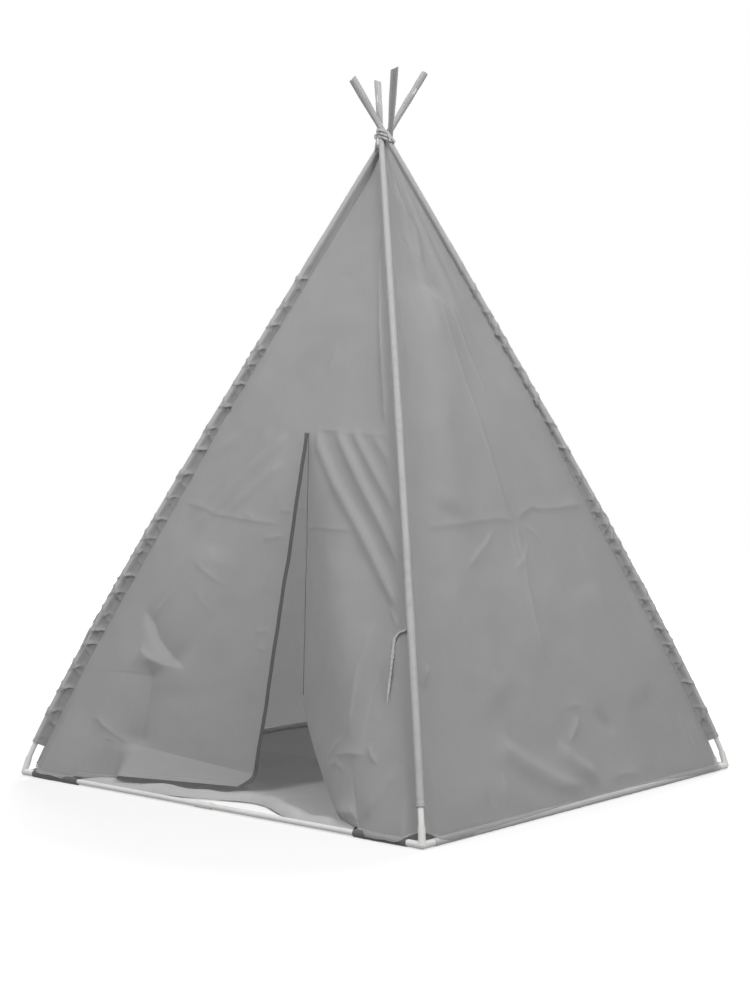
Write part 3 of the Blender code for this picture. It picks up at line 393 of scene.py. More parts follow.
def thread_waves(tree, place, direction, thread):
    """Waves across the threads that run one way, at a thread spacing in metres."""
    return add_node(
        tree,
        "ShaderNodeTexWave",
        settings={"bands_direction": direction},
        values={"Scale": math.pi / 10 / thread, "Distortion": 0.6, "Detail": 1.0},
        links={"Vector": (place, "UV")},
    )


def mixed_colour(tree, blend, low, high):
    """Two colours blended, each a colour or the (node, socket) that gives it."""
    made = add_node(tree, "ShaderNodeMix", settings={"data_type": "RGBA", "blend_type": blend})
    for number, value in ((6, low), (7, high)):
        if isinstance(value[0], bpy.types.Node):
            tree.links.new(value[0].outputs[value[1]], made.inputs[number])
        else:
            made.inputs[number].default_value = value
    return made


def let_light_through(tree, shader, amount):
    """Mixes the surface with one that passes light on from its far side."""
    through = add_node(tree, "ShaderNodeBsdfTranslucent", values={"Color": WHITE})
    layers = {1: (shader, "BSDF"), 2: (through, "BSDF")}
    both = add_node(tree, "ShaderNodeMixShader", values={0: amount}, links=layers)
    tree.links.new(both.outputs["Shader"], tree.nodes["Material Output"].inputs["Surface"])


def woven_polyester(
    name, code, thread, roughness=0.72, sheen=0.22, mottle=0.05, see_through=0.40, tube_code=None
):
    """Plain woven polyester: even matt grey, a soft bloom at grazing angles, fine crossed threads and slubs.

    It is thin, so part of the light on its far side comes through, and the inside of the tent glows softly.

    The real threads lie about 0.25 mm apart, too fine to show, so they are drawn at the thread spacing given.
    """
    made, tree, shader = new_surface(name, roughness, 1.54)
    shader.inputs["Sheen Weight"].default_value = sheen
    shader.inputs["Sheen Roughness"].default_value = 0.45
    let_light_through(tree, shader, see_through)
    place = add_node(tree, "ShaderNodeTexCoord")
    colour = linear(code)
    warp = thread_waves(tree, place, "X", thread)
    weft = thread_waves(tree, place, "Y", thread)
    crossed = {0: (warp, "Fac"), 1: (weft, "Fac")}
    weave = add_node(tree, "ShaderNodeMath", settings={"operation": "MULTIPLY"}, links=crossed)
    slub_place = add_node(
        tree, "ShaderNodeMapping", values={"Scale": (1.0, 0.04, 1.0)}, links={"Vector": (place, "UV")}
    )
    slubs = noise_pattern(tree, slub_place, "Vector", 420.0, 2.0)
    clouds = noise_pattern(tree, place, "Object", 5.0, 4.0, 0.6)
    darker = shade(colour, 1.0 - mottle)
    lighter = shade(colour, 1.0 + mottle)
    patchy = ramp_between(tree, clouds, "Fac", 0.3, 0.7, darker, lighter)
    thin = (THIN_THREAD, THIN_THREAD, THIN_THREAD, 1.0)
    thick = (THICK_THREAD, THICK_THREAD, THICK_THREAD, 1.0)
    thread_tint = ramp_between(tree, slubs, "Fac", 0.3, 0.75, thin, thick)
    finished = mixed_colour(tree, "MULTIPLY", (patchy, "Color"), (thread_tint, "Color"))
    finished.inputs[0].default_value = 1.0
    if tube_code:
        # The white tube shows through the single layer of cloth that lies on it
        lying = add_node(tree, "ShaderNodeAttribute", settings={"attribute_name": "over_tube"})
        finished = mixed_colour(tree, "MIX", (finished, 2), linear(tube_code))
        tree.links.new(lying.outputs["Fac"], finished.inputs[0])
    tree.links.new(finished.outputs[2], shader.inputs["Base Color"])
    fine = bump_of(tree, weave, "Value", 0.35, 0.0003)
    crumple = noise_pattern(tree, place, "Object", 26.0, 5.0, 0.55)
    soft = bump_of(tree, crumple, "Fac", 0.30, 0.0035, fine)
    tree.links.new(soft.outputs["Normal"], shader.inputs["Normal"])
    return made


# Building blocks


def place_object(name, mesh, material, body, replaced=()):
    """Puts a finished mesh in the scene as one piece that rides on a body."""
    mesh.materials.clear()
    mesh.materials.append(material)
    mesh.shade_smooth()
    mesh.set_sharp_from_angle(angle=math.radians(50))
    made = bpy.data.objects.new(name, mesh)
    bpy.context.scene.collection.objects.link(made)
    if body:
        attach(made, body)
    if replaced:
        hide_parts(*replaced)
    return made


def mesh_from_arrays(name, vertices, faces, places):
    """A closed mesh from points and four-cornered faces; places hold each point's spot on the flat cloth."""
    mesh = bpy.data.meshes.new(name)
    mesh.from_pydata(vertices.tolist(), [], faces.tolist())
    corners = np.zeros(len(mesh.loops), dtype=np.int64)
    mesh.loops.foreach_get("vertex_index", corners)
    layer = mesh.uv_layers.new(name="UVMap")
    layer.data.foreach_set("uv", places[corners].astype(np.float32).ravel())
    shape = bmesh.new()
    shape.from_mesh(mesh)
    bmesh.ops.remove_doubles(shape, verts=shape.verts, dist=MERGE_DISTANCE)
    bmesh.ops.recalc_face_normals(shape, faces=shape.faces)
    shape.to_mesh(mesh)
    shape.free()
    return mesh


def quads_between(rows, columns, closed):
    """Faces over a grid of points numbered row by row; a closed grid joins its last column to its first."""
    last = columns if closed else columns - 1
    i, j = np.meshgrid(np.arange(rows - 1), np.arange(last), indexing="ij")
    k = (j + 1) % columns
    low = i * columns
    high = low + columns
    return np.stack((low + j, low + k, high + k, high + j), axis=-1).reshape(-1, 4)


def mesh_of_tube(name, outer, inner):
    """An open-ended shell between two stacks of rings."""
    outer = np.array(outer)
    inner = np.array(inner)
    rows, columns = outer.shape[:2]
    walls = quads_between(rows, columns, True)
    rim = quads_between(2, columns, True)
    offset = rows * columns
    low = np.where(rim < columns, rim, rim - columns + offset)
    high = np.where(rim < columns, rim + offset - columns, rim - columns + 2 * offset - columns)
    around = np.cumsum(np.linalg.norm(np.diff(outer, axis=1, prepend=outer[:, :1]), axis=2), axis=1)
    along = np.cumsum(np.linalg.norm(np.diff(outer, axis=0, prepend=outer[:1]), axis=2), axis=0)
    places = np.stack((around, along), axis=2).reshape(-1, 2)
    faces = np.concatenate((walls, walls[:, ::-1] + offset, low[:, ::-1], high))
    points = np.concatenate((outer.reshape(-1, 3), inner.reshape(-1, 3)))
    return mesh_from_arrays(name, points, faces, np.concatenate((places, places)))


def mesh_of_rings(name, rings):
    """A closed skin over rings of points, with its ends shut."""
    shape = bmesh.new()
    uv_layer = shape.loops.layers.uv.new("UVMap")
    count = len(rings[0])
    vertices = [[shape.verts.new(point) for point in ring] for ring in rings]
    along = 0.0
    for k in range(len(rings) - 1):
        step = (Vector(rings[k + 1][0]) - Vector(rings[k][0])).length
        around = 0.0
        for i in range(count):
            j = (i + 1) % count
            wide = (Vector(rings[k][j]) - Vector(rings[k][i])).length
            face = shape.faces.new((vertices[k][i], vertices[k][j], vertices[k + 1][j], vertices[k + 1][i]))
            across = (around, around + wide, around + wide, around)
            up = (along, along, along + step, along + step)
            for loop, corner in zip(face.loops, zip(across, up)):
                loop[uv_layer].uv = corner
            around += wide
        along += step
    shape.faces.new(vertices[0])
    shape.faces.new(vertices[-1])
    bmesh.ops.recalc_face_normals(shape, faces=shape.faces)
    mesh = bpy.data.meshes.new(name)
    shape.to_mesh(mesh)
    shape.free()
    return mesh


def mesh_of_sheet(name, points, thickness, places):
    """A closed thin cloth over a grid of points; places hold each point's (across, up) on the flat cloth."""
    rows, columns = points.shape[:2]
    half = sheet_normals(points) * thickness / 2
    offset = rows * columns
    front = quads_between(rows, columns, False)
    rim = list(range(columns))
    rim += [i * columns + columns - 1 for i in range(1, rows)]
    rim += [(rows - 1) * columns + j for j in range(columns - 2, -1, -1)]
    rim += [i * columns for i in range(rows - 2, 0, -1)]
    here = np.array(rim)
    ahead = np.roll(here, -1)
    edge = np.stack((ahead, here, here + offset, ahead + offset), axis=-1)
    vertices = np.concatenate(((points + half).reshape(-1, 3), (points - half).reshape(-1, 3)))
    flat = places.reshape(-1, 2)
    faces = np.concatenate((front, front[:, ::-1] + offset, edge))
    return mesh_from_arrays(name, vertices, faces, np.concatenate((flat, flat)))


def sheet_normals(points):
    """Unit normals of a grid of points, towards the outside of the tent."""
    up = np.gradient(points, axis=0)
    across = np.gradient(points, axis=1)
    normals = np.cross(across, up)
    lengths = np.linalg.norm(normals, axis=2, keepdims=True)
    weak = lengths[:, :, 0] < MERGE_DISTANCE**2
    normals = normals / np.maximum(lengths, MERGE_DISTANCE**2)
    normals[weak] = (0.0, -1.0, 0.0)
    return normals


def station_on(point, tangent, towards):
    """Frame at a point of a path: X leans towards a direction, Z follows the path."""
    along = tangent.normalized()
    inward = (towards - along * towards.dot(along)).normalized()
    side = along.cross(inward)
    placed = Matrix((inward, side, along)).transposed().to_4x4()
    placed.translation = point
    return placed


def band_outline(width, thickness, bulge=0.0):
    """Flat band seen end on, with rounded edges; bulge thickens its middle."""
    half = width / 2
    rise = thickness / 2
    places = (-1.0, -0.5, 0.0, 0.5, 1.0)
    top = [(rise + bulge * math.cos(math.pi * place / 2) ** 2, half * place * 0.9) for place in places]
    bottom = [(-x, y) for x, y in reversed(top)]
    return top + [(0.0, half)] + bottom + [(0.0, -half)]


def band_rings(points, facings, outlines):
    """Rings of a band along a path, with the way its flat side faces at each point."""
    rings = []
    for i, point in enumerate(points):
        ahead = points[min(i + 1, len(points) - 1)]
        behind = points[max(i - 1, 0)]
        placed = station_on(point, ahead - behind, facings[i])
        rings.append([placed @ Vector((x, y, 0.0)) for x, y in outlines[i]])
    return rings


def ease(share):
    """Smooth step from 0 to 1."""
    share = min(max(share, 0.0), 1.0)
    return share * share * (3.0 - 2.0 * share)


def quarter_turn(corner):
    """Turn from the front pole or the door side to another corner or side."""
    return Matrix.Rotation(corner * math.tau / 4, 4, "Z")


# The poles' lines, all of them for the front pole; the other three are quarter turns of it


def pole_lean():
    """Angle between the straight line of a pole and upright."""
    return math.atan2(HALF_SIDE * math.sqrt(2.0), CROSSING_HEIGHT)


def crossing_offset():
    """How far a pole passes beside the middle axis, so that the four sleeves just touch."""
    straight = math.hypot(HALF_SIDE * math.sqrt(2.0), CROSSING_HEIGHT)
    lean = pole_lean() + POLE_BOW * math.pi * BOW_SKEW_SHARE / straight
    upright = math.cos(lean) ** 2
    return (2 * SNUG_SLEEVE_RADIUS + CLEARANCE) / math.sqrt(4.0 * upright / (1.0 + upright))


def pole_chord():
    """Ends of the straight line that the front pole bows away from."""
    foot = Vector((HALF_SIDE, -HALF_SIDE, RAIL_HEIGHT))
    aside = Vector((-1.0, -1.0, 0.0)).normalized() * crossing_offset()
    return foot, Vector((0.0, 0.0, RAIL_HEIGHT + CROSSING_HEIGHT)) + aside


def pole_length():
    """Length of the straight line from a pole's foot to the crossing."""
    foot, crossing = pole_chord()
    return (crossing - foot).length


def pole_point(run):
    """Point on the bowed axis of the front pole."""
    foot, crossing = pole_chord()
    along = (crossing - foot).normalized()
    outwards = Vector((1.0, -1.0, 0.0))
    up_and_out = (outwards - along * along.dot(outwards)).normalized()
    curved_run = max(run, ARM_LENGTH)
    bow = POLE_BOW * math.sin(math.pi * (curved_run / pole_length()) ** BOW_SKEW_SHARE)
    bow *= min(run / ARM_LENGTH, 1.0)
    return foot + along * run + up_and_out * bow


def pole_station(run):
    """Frame on the front pole's axis: X towards the inside of the tent, Z up the pole."""
    low = max(run - SLEEVE_RADIUS, 0.0)
    tangent = pole_point(low + 2 * SLEEVE_RADIUS) - pole_point(low)
    return station_on(pole_point(run), tangent, Vector((-1.0, 1.0, 0.0)))


def snugness(run):
    """0 where a sleeve hangs loose, 1 where the tie draws it tight."""
    return ease(1.0 - (pole_length() - run) / TIED_RUN)


def seam_reach(run, pole):
    """How far the seam of a pole's sleeve lies inwards of the pole's axis."""
    low, high = REACH_CHANGE
    loose = LOW_REACH[pole] + (HIGH_REACH[pole] - LOW_REACH[pole]) * ease((run - low) / (high - low))
    return loose + (TIED_REACH - loose) * snugness(run)


def seam_point(run, corner, hand, face=0):
    """Where a wall's cloth meets a pole's seam; corners count from the face, as if it were the door side."""
    reach = seam_reach(run, (corner + face) % 4) - PANEL_CLOTH
    return quarter_turn(corner) @ (pole_station(run) @ Vector((reach, hand * SEAM_ASIDE, 0.0)))


def seam_start():
    """Distance up a pole at which the walls' seams begin."""
    return (ARCH_RISE + SLEEVE_RADIUS) / math.cos(pole_lean())


def edge_low_point(hand):
    """Lowest point of a wall's left or right seam."""
    return seam_point(seam_start(), -1, -1) if hand < 0 else seam_point(seam_start(), 0, 1)


def bottom_point(x):
    """Lower edge of a wall: level over the rail, with an arch over each connector."""
    hand = 1 if x > 0 else -1
    top = edge_low_point(hand)
    rail_y = -HALF_SIDE + PANEL_FOOT_SETBACK
    from_corner = HALF_SIDE - abs(x)
    if from_corner >= ARCH_RUN:
        return Vector((x, rail_y, PANEL_FOOT_HEIGHT))
    end_from_corner = HALF_SIDE - abs(top.x)
    rise = max(1.0 - (from_corner / ARCH_RUN) ** ARCH_POWER, 0.0)
    full_rise = 1.0 - (end_from_corner / ARCH_RUN) ** ARCH_POWER
    climb = rise / full_rise
    y = rail_y + (top.y - rail_y) * climb
    z = PANEL_FOOT_HEIGHT + (top.z - PANEL_FOOT_HEIGHT) * climb
    return Vector((x, y, z))


# Stage: floor, light and camera


def seen_directly(tree):
    """A switch: 1 for what the camera sees, also in a reflection, and 0 for the light on the object."""
    shown = add_node(tree, "ShaderNodeLightPath")
    rays = {0: (shown, "Is Camera Ray"), 1: (shown, "Is Glossy Ray")}
    return add_node(tree, "ShaderNodeMath", settings={"operation": "ADD", "use_clamp": True}, links=rays)


def add_camera(scene):
    """The camera of the photograph."""
    eye = bpy.data.cameras.new("camera")
    eye.lens = LENS_LENGTH
    eye.sensor_width = SENSOR_WIDTH
    camera = bpy.data.objects.new("camera", eye)
    camera.location = CAMERA_PLACE
    camera.rotation_euler = CAMERA_TURN
    scene.collection.objects.link(camera)
    scene.camera = camera


def add_world(scene):
    """A white room that lights the object softly."""
    world = bpy.data.worlds.new("soft_studio")
    world.use_nodes = True
    scene.world = world
    tree = world.node_tree
    limits = {"To Min": WORLD_LIGHT, "To Max": 1.0}
    shown = {"Value": (seen_directly(tree), "Value")}
    strength = add_node(tree, "ShaderNodeMapRange", values=limits, links=shown)
    tree.links.new(strength.outputs["Result"], tree.nodes["Background"].inputs["Strength"])
    tree.nodes["Background"].inputs["Color"].default_value = WHITE


def add_lamp(scene, name, place, size, power):
    """A square lamp aimed at the middle of the tent."""
    lamp = bpy.data.lights.new(name, "AREA")
    lamp.size = size
    lamp.energy = power
    made = bpy.data.objects.new(name, lamp)
    made.location = place
    aim = Vector(LAMP_AIM) - Vector(place)
    made.rotation_euler = aim.to_track_quat("-Z", "Y").to_euler()
    scene.collection.objects.link(made)


def matt_white_floor():
    """A matt floor that looks white far off and keeps the tent's soft shadow near it."""
    paint = bpy.data.materials.new("matt_white_floor")
    paint.use_nodes = True
    tree = paint.node_tree
    shader = tree.nodes["Principled BSDF"]
    shader.inputs["Base Color"].default_value = (FLOOR_GREY, FLOOR_GREY, FLOOR_GREY, 1.0)
    shader.inputs["Roughness"].default_value = 0.9
    shader.inputs["Specular IOR Level"].default_value = 0.0
    shader.inputs["Emission Color"].default_value = WHITE
    place = add_node(tree, "ShaderNodeTexCoord")
    measure = {"operation": "LENGTH"}
    away = add_node(tree, "ShaderNodeVectorMath", settings=measure, links={"Vector": (place, "Object")})
    pale = add_node(tree, "ShaderNodeMapRange", values=FLOOR_GLOW, links={"Value": (away, "Value")})
    shares = {0: (seen_directly(tree), "Value"), 1: (pale, "Result")}
    glow = add_node(tree, "ShaderNodeMath", settings={"operation": "MULTIPLY"}, links=shares)
    tree.links.new(glow.outputs["Value"], shader.inputs["Emission Strength"])
    return paint


def add_floor(scene):
    """The studio's floor, which is left out of the object's model."""
    shape = bmesh.new()
    reach = FLOOR_REACH
    corners = ((-reach, -reach), (reach, -reach), (reach, reach), (-reach, reach))
    shape.faces.new([shape.verts.new((x, y, 0.0)) for x, y in corners])
    mesh = bpy.data.meshes.new("studio_floor")
    shape.to_mesh(mesh)
    shape.free()
    mesh.materials.append(matt_white_floor())
    floor = bpy.data.objects.new("studio_floor", mesh)
    scene.collection.objects.link(floor)


class TEEPEE_OT_stage(bpy.types.Operator):
    """Sets up the pale floor, the soft light and the camera."""

    bl_idname = "teepee.stage"
    bl_label = "Studio and camera"

    def execute(self, context):
        scene = context.scene
        scene.view_settings.view_transform = "Standard"
        add_camera(scene)
        add_world(scene)
        for name, place, size, power in LAMPS:
            add_lamp(scene, name, place, size, power)
        add_floor(scene)
        return {"FINISHED"}


# Frame: the plastic keeps its CAD shapes


class TEEPEE_OT_frame(bpy.types.Operator):
    """Gives the tubes, couplers and connectors their moulded plastic."""

    bl_idname = "teepee.frame"
    bl_label = "Plastic frame"

    def execute(self, context):
        plastic = moulded_polypropylene("polypropylene_moulded", context.scene.teepee_colours.plastic)
        for part in list(bpy.data.objects):
            moulded = any(kind in part.name for kind in ("tube", "coupler", "connector"))
            if part.type == "MESH" and part.get("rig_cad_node") and moulded:
                part.data.materials.clear()
                part.data.materials.append(plastic)
        return {"FINISHED"}


# Tie-back ribbons, on the routes of the part's source


def strip_directions(hand):
    """Direction from a hinge line towards its pole, and the cloth's outer normal there."""
    axis = hinge_axis(hand)
    middle_run = (pole_length() - PANEL_TOP_DROP) / 4
    seam = seam_point(middle_run, 0, 1) if hand > 0 else seam_point(middle_run, -1, -1)
    towards = seam - hinge_foot(hand)
    direction = (towards - axis * towards.dot(axis)).normalized()
    normal = axis.cross(direction)
    return direction, (normal if normal.y < 0 else -normal)


def door_surface(height, from_seam, standoff):
    """Point before the door panel beside the front pole."""
    run = (height - RAIL_HEIGHT) / math.cos(pole_lean())
    seam = seam_point(run, 0, 1)
    direction, normal = strip_directions(1)
    line = hinge_foot(1).lerp(slit_apex(), (height - RAIL_HEIGHT) / (SLIT_TOP - RAIL_HEIGHT))
    edge = line + direction * CLEARANCE - normal * PANEL_CLOTH / 2
    return seam + (edge - seam).normalized() * from_seam + normal * (PANEL_CLOTH / 2 + standoff)


def bent_line(values, to_bend, past_bend):
    """Value on its way from the start over the bend to the end."""
    start, bend, end = values
    return start + (bend - start) * to_bend + (end - bend) * past_bend


def right_ribbon_route():
    """The right ribbon bends over the cloth beside the front pole and hangs down it, swaying a little."""
    points = []
    facings = []
    stand = RIBBON_WIDTH / 2 + 2 * CLEARANCE
    steps = 60
    outward = strip_directions(1)[1]
    for i in range(steps + 1):
        share = i / steps
        to_bend = min(share / RIBBON_BEND_SHARE, 1.0)
        past_bend = max(share - RIBBON_BEND_SHARE, 0.0) / (1.0 - RIBBON_BEND_SHARE)
        height = bent_line(RIBBON_HEIGHTS, to_bend**2, past_bend)
        side = bent_line(RIBBON_SIDES, to_bend, past_bend)
        points.append(door_surface(height, side, stand))
        lying = Vector((0.0, 0.0, 1.0)).lerp(outward, 0.5 + 0.5 * ease(to_bend / 2 + past_bend))
        slow_sway = 0.5 * math.sin(9.0 * past_bend) * past_bend
        quick_sway = 0.35 * math.sin(70.0 * past_bend) * min(4 * past_bend, 1.0)
        facings.append(Matrix.Rotation(slow_sway + quick_sway, 3, "Z") @ lying)
    return points, facings


def left_ribbon_route():
    """The left ribbon winds round the left pole's sleeve and hangs behind it."""
    points = []
    facings = []
    steps = 20
    for i in range(steps + 1):
        share = i / steps
        station = quarter_turn(3) @ pole_station(LEFT_RIBBON_START - LEFT_RIBBON_FALL * share**1.5)
        angle = math.radians(110 + 140 * share)
        out = Vector((math.cos(angle), math.sin(angle), 0.0))
        points.append(station @ (out * (SLEEVE_RADIUS + RIBBON_THICKNESS)))
        facings.append(station.to_3x3() @ -out)
    return points, facings


def ribbon_outlines(count):
    """Cross-sections of a ribbon that is bunched here and there and drawn to a point at its end."""
    made = []
    for i in range(count):
        share = i / (count - 1)
        pointed = 1.0 - 0.75 * ease((share - RIBBON_POINT_SHARE) / (1.0 - RIBBON_POINT_SHARE))
        bunched = 0.92 + 0.14 * math.sin(31.0 * share)
        made.append(band_outline(RIBBON_WIDTH * pointed * bunched, RIBBON_THICKNESS))
    return made


class TEEPEE_OT_ribbons(bpy.types.Operator):
    """Makes the two narrow ribbons that tie the door flaps back."""

    bl_idname = "teepee.ribbons"
    bl_label = "Tie-back ribbons"

    def execute(self, context):
        colour = context.scene.teepee_colours.ribbon
        cloth = woven_polyester(
            "polyester_ribbon_woven", colour, 0.0009, roughness=0.6, sheen=0.2, mottle=0.03, see_through=0.1
        )
        for name, route in (("right", right_ribbon_route()), ("left", left_ribbon_route())):
            points, facings = route
            rings = band_rings(points, facings, ribbon_outlines(len(points)))
            mesh = mesh_of_rings(f"{name}_ribbon", rings)
            node = f"{name}_tie_back_ribbon"
            piece = place_object(f"{name}_ribbon", mesh, cloth, "tent", (node,))
        return {"FINISHED"}


# Pole sleeves


def teardrop_angles():
    """Angles round a sleeve from its seam: close on the flanks and even round the pole."""
    flank = [math.radians(a) for a in (0, 2, 5, 9, 14, 20, 27, 35, 44, 54, 65)]
    around = [math.radians(65 + (295 - 65) * i / 20) for i in range(1, 20)]
    return np.array(flank + around + [math.tau - a for a in reversed(flank[1:])])


def teardrop_radii(angles, radius, reach):
    """Polar outline of cloth drawn from a round pole to a flat seam."""
    turned = np.minimum(angles, math.tau - angles)
    touch = math.acos(radius / reach)
    return np.where(turned >= touch, radius, radius / np.cos(np.maximum(touch - turned, 0.0)))


def coupler_runs():
    """Where the middles of the pole couplers lie along a pole."""
    low = SOCKET_FLOOR + CLEARANCE
    high = pole_length() + POLE_OVERRUN
    return [low + (high - low) * i / POLE_SECTIONS for i in range(1, POLE_SECTIONS)]


def round_radius(run):
    """Radius of a sleeve round its pole: close on the tube, and wider over the couplers."""
    beside = min(abs(run - middle) for middle in coupler_runs())
    over = 1.0 - ease((beside - COUPLER_HALF) / COUPLER_SLOPE)
    plain = LOOSE_SLEEVE_RADIUS + (SNUG_SLEEVE_RADIUS - LOOSE_SLEEVE_RADIUS) * snugness(run)
    return plain + (COUPLER_SLEEVE_RADIUS - plain) * over


def sleeve_gathers(seed, liveliness):
    """Places where the slack of a sleeve bunches up into a short slanting crease.

    Each is its distance up the pole, the side that it slants to, its height and its length along the pole.
    """
    made = []
    run = SLEEVE_START + 0.030
    number = 0
    least_pitch, more_pitch = GATHER_PITCH
    least_length, more_length = GATHER_LENGTH
    while run < pole_length() - 0.05:
        wander = noise.noise(Vector((number * 0.73, seed, 0.4)))
        size = 0.5 + 0.5 * noise.noise(Vector((number * 1.31, seed, 2.7)))
        side = 1.0 if number % 2 else -1.0
        fade = 1.0 - ease((run - GATHER_TOP) / GATHER_FADE)
        drawn = (0.55 + 1.3 * max(size, 0.0) ** 1.5) * (1.0 if number % 3 else 0.5)
        height = fade * liveliness * GATHER_HEIGHT * drawn
        made.append((run, side, height, least_length + more_length * abs(wander)))
        run += least_pitch + more_pitch * (0.5 + wander)
        number += 1
    return made


def gather_lift(run, angles, places):
    """Height of the gathers round a sleeve at a distance up the pole."""
    lift = np.zeros_like(angles)
    turned = np.where(angles > math.pi, angles - math.tau, angles)
    for middle, side, height, length in places:
        if abs(run - middle) > 4 * length:
            continue
        slant = middle + GATHER_SLANT * side * np.abs(turned) / math.pi * 2 - 0.006
        sharp = np.exp(-np.abs(run - slant) / (0.42 * length))
        beside = 0.6 + 0.4 * np.clip(np.cos(turned - side * 0.9), 0.0, 1.0)
        lift += height * sharp * beside
    return lift


def sleeve_wave(run, seed):
    """Slow and quick unevenness of a sleeve's slack along the pole."""
    slow = noise.noise(Vector((run * 21, seed, 3.3)))
    quick = noise.noise(Vector((run * 60, seed, 7.1)))
    return SLEEVE_WAVES[0] * slow + SLEEVE_WAVES[1] * quick


def sleeve_crumple(run, seed, angles, bunch):
    """Fine sharp ridges, strongest where the cloth is bunched up, as shares of their full height."""
    uneven = np.array([noise.noise(Vector((run * 55, turn * 1.6, seed + 4.0))) for turn in angles])
    return np.maximum(1.0 - 3.0 * np.abs(uneven), 0.0) * np.clip(bunch / 0.002, 0.15, 1.0)


def tail_shape(run, pole, angles):
    """How far out each point of a sleeve's flattened empty end lies, as a share of its round radius."""
    past = ease((run - pole_length() - 0.03) / 0.09)
    wide, flat, turn = TAIL_SHAPES[pole]
    squash = 1.0 + (wide - 1.0) * past
    depth = 1.0 + (flat - 1.0) * past
    return np.hypot(np.cos(angles - turn) * squash, np.sin(angles - turn) * depth)


def sleeve_rings(pole, sizes):
    """Outer and inner rings of one sleeve, and how much of each ring lies on the tube."""
    seed, liveliness, cut_from, cut_depth = SLEEVE_CLOTHS[pole]
    length = pole_length()
    top = length + SLEEVE_OVERRUN[pole]
    low = SLEEVE_START
    angles = teardrop_angles()
    turned = np.minimum(angles, math.tau - angles)
    flank = np.clip((1.45 - turned) / 0.5, 0.0, 1.0)
    valley = SEAM_VALLEY * np.exp(-(((turned - 0.30) / 0.16) ** 2))
    places = sleeve_gathers(seed, liveliness)
    outer = []
    inner = []
    lying = []
    for k in range(SLEEVE_RINGS + 1):
        run = low + (top - low) * k / SLEEVE_RINGS
        station = np.array(pole_station(run))
        radius = round_radius(run)
        reach = seam_reach(run, pole) if run < length else TIED_REACH
        reach = max(reach, radius * 1.02)
        tight = ease((length - 0.04 - run) / 0.10) * ease((run - low) / 0.05)
        plain = teardrop_radii(angles, radius, reach)
        bunch = gather_lift(run, angles, places) * sizes.gather_scale
        crumple = liveliness * CRUMPLE_HEIGHT * sleeve_crumple(run, seed, angles, bunch)
        wave = max(sleeve_wave(run, seed), 0.0) * flank
        lift = tight * (bunch * (0.28 + 0.72 * flank) + wave + crumple) - valley * tight
        hem = sizes.hem_rise if run < low + sizes.hem_width else 0.0
        seam_line = STITCH_DEPTH if abs(run - low - sizes.hem_width) < STITCH_WIDTH else 0.0
        distance = np.maximum(plain + lift, plain * 0.93) + hem - seam_line
        if run > length:
            distance = distance * tail_shape(run, pole, angles)
            distance = distance + 0.0008 * noise.noise(Vector((run * 30, seed, 1.9)))
        past_tie = ease((run - length - 0.02) / (top - length - 0.02))
        drop = -cut_depth * past_tie * (0.5 - 0.5 * np.cos(angles - cut_from))
        for stack, size in ((outer, distance), (inner, distance - sizes.cloth_thickness)):
            local = np.stack((size * np.cos(angles), size * np.sin(angles), drop, np.ones_like(drop)), axis=1)
            stack.append((local @ station.T)[:, :3])
        touch = math.acos(min(radius / reach, 1.0))
        on_tube = np.clip((turned - touch * 0.92) / 0.35, 0.0, 1.0)
        lying.append(on_tube * (1.0 - np.clip(bunch / 0.0025, 0.0, 1.0)))
    return outer, inner, np.array(lying)


class TEEPEE_OT_sleeves(bpy.types.Operator):
    """Makes the four gathered sleeves that the poles slide into."""

    bl_idname = "teepee.sleeves"
    bl_label = "Pole sleeves"

    def execute(self, context):
        sizes = context.scene.teepee_sizes
        colours = context.scene.teepee_colours
        cloth = woven_polyester(
            "polyester_sleeve_woven", colours.loose, 0.0011, see_through=0.12, tube_code=colours.sleeve
        )
        for pole, name in enumerate(CORNER_NAMES):
            outer, inner, lying = sleeve_rings(pole, sizes)
            mesh = mesh_of_tube(f"{name}_sleeve", outer, inner)
            layer = mesh.attributes.new("over_tube", "FLOAT", "POINT")
            layer.data.foreach_set("value", np.concatenate((lying.ravel(), lying.ravel())).astype(np.float32))
            mesh.transform(quarter_turn(pole))
            node = f"{name}_pole_sleeve"
            piece = place_object(f"{name}_sleeve", mesh, cloth, "tent", (node,))
        return {"FINISHED"}


# Wall cloth


def line_distance(x, z, line):
    """Signed distance to a bent line, distance along it, and its length."""
    best = np.full(x.shape, np.inf)
    signed = np.zeros(x.shape)
    along = np.zeros(x.shape)
    walked = 0.0
    for (x0, z0), (x1, z1) in zip(line, line[1:]):
        long = math.hypot(x1 - x0, z1 - z0)
        dx, dz = (x1 - x0) / long, (z1 - z0) / long
        share = np.clip((x - x0) * dx + (z - z0) * dz, 0.0, long)
        away = np.hypot(x - x0 - share * dx, z - z0 - share * dz)
        nearer = away < best
        best = np.where(nearer, away, best)
        signed = np.where(nearer, np.copysign(away, dx * (z - z0) - dz * (x - x0)), signed)
        along = np.where(nearer, walked + share, along)
        walked += long
    return signed, along, walked


def smooth(share):
    """Smooth step from 0 to 1 of a whole array."""
    share = np.clip(share, 0.0, 1.0)
    return share * share * (3.0 - 2.0 * share)


def fold_height(x, z, fold):
    """Height of one fold or crease over a face.

    A fold is the points of its line, walked downwards or to the right, its height, its widths on the left or
    lower side and on the right or upper side, and whether it is a sharp crease.
    """
    line, height, widths, sharp = fold
    signed, along, length = line_distance(x, z, line)
    share = np.abs(signed) / np.where(signed > 0, widths[1], widths[0])
    profile = np.exp(-share) if sharp else np.exp(-(share**2))
    ends = smooth(np.minimum(along, length - along) / min(FOLD_END, 0.4 * length))
    return height * profile * ends


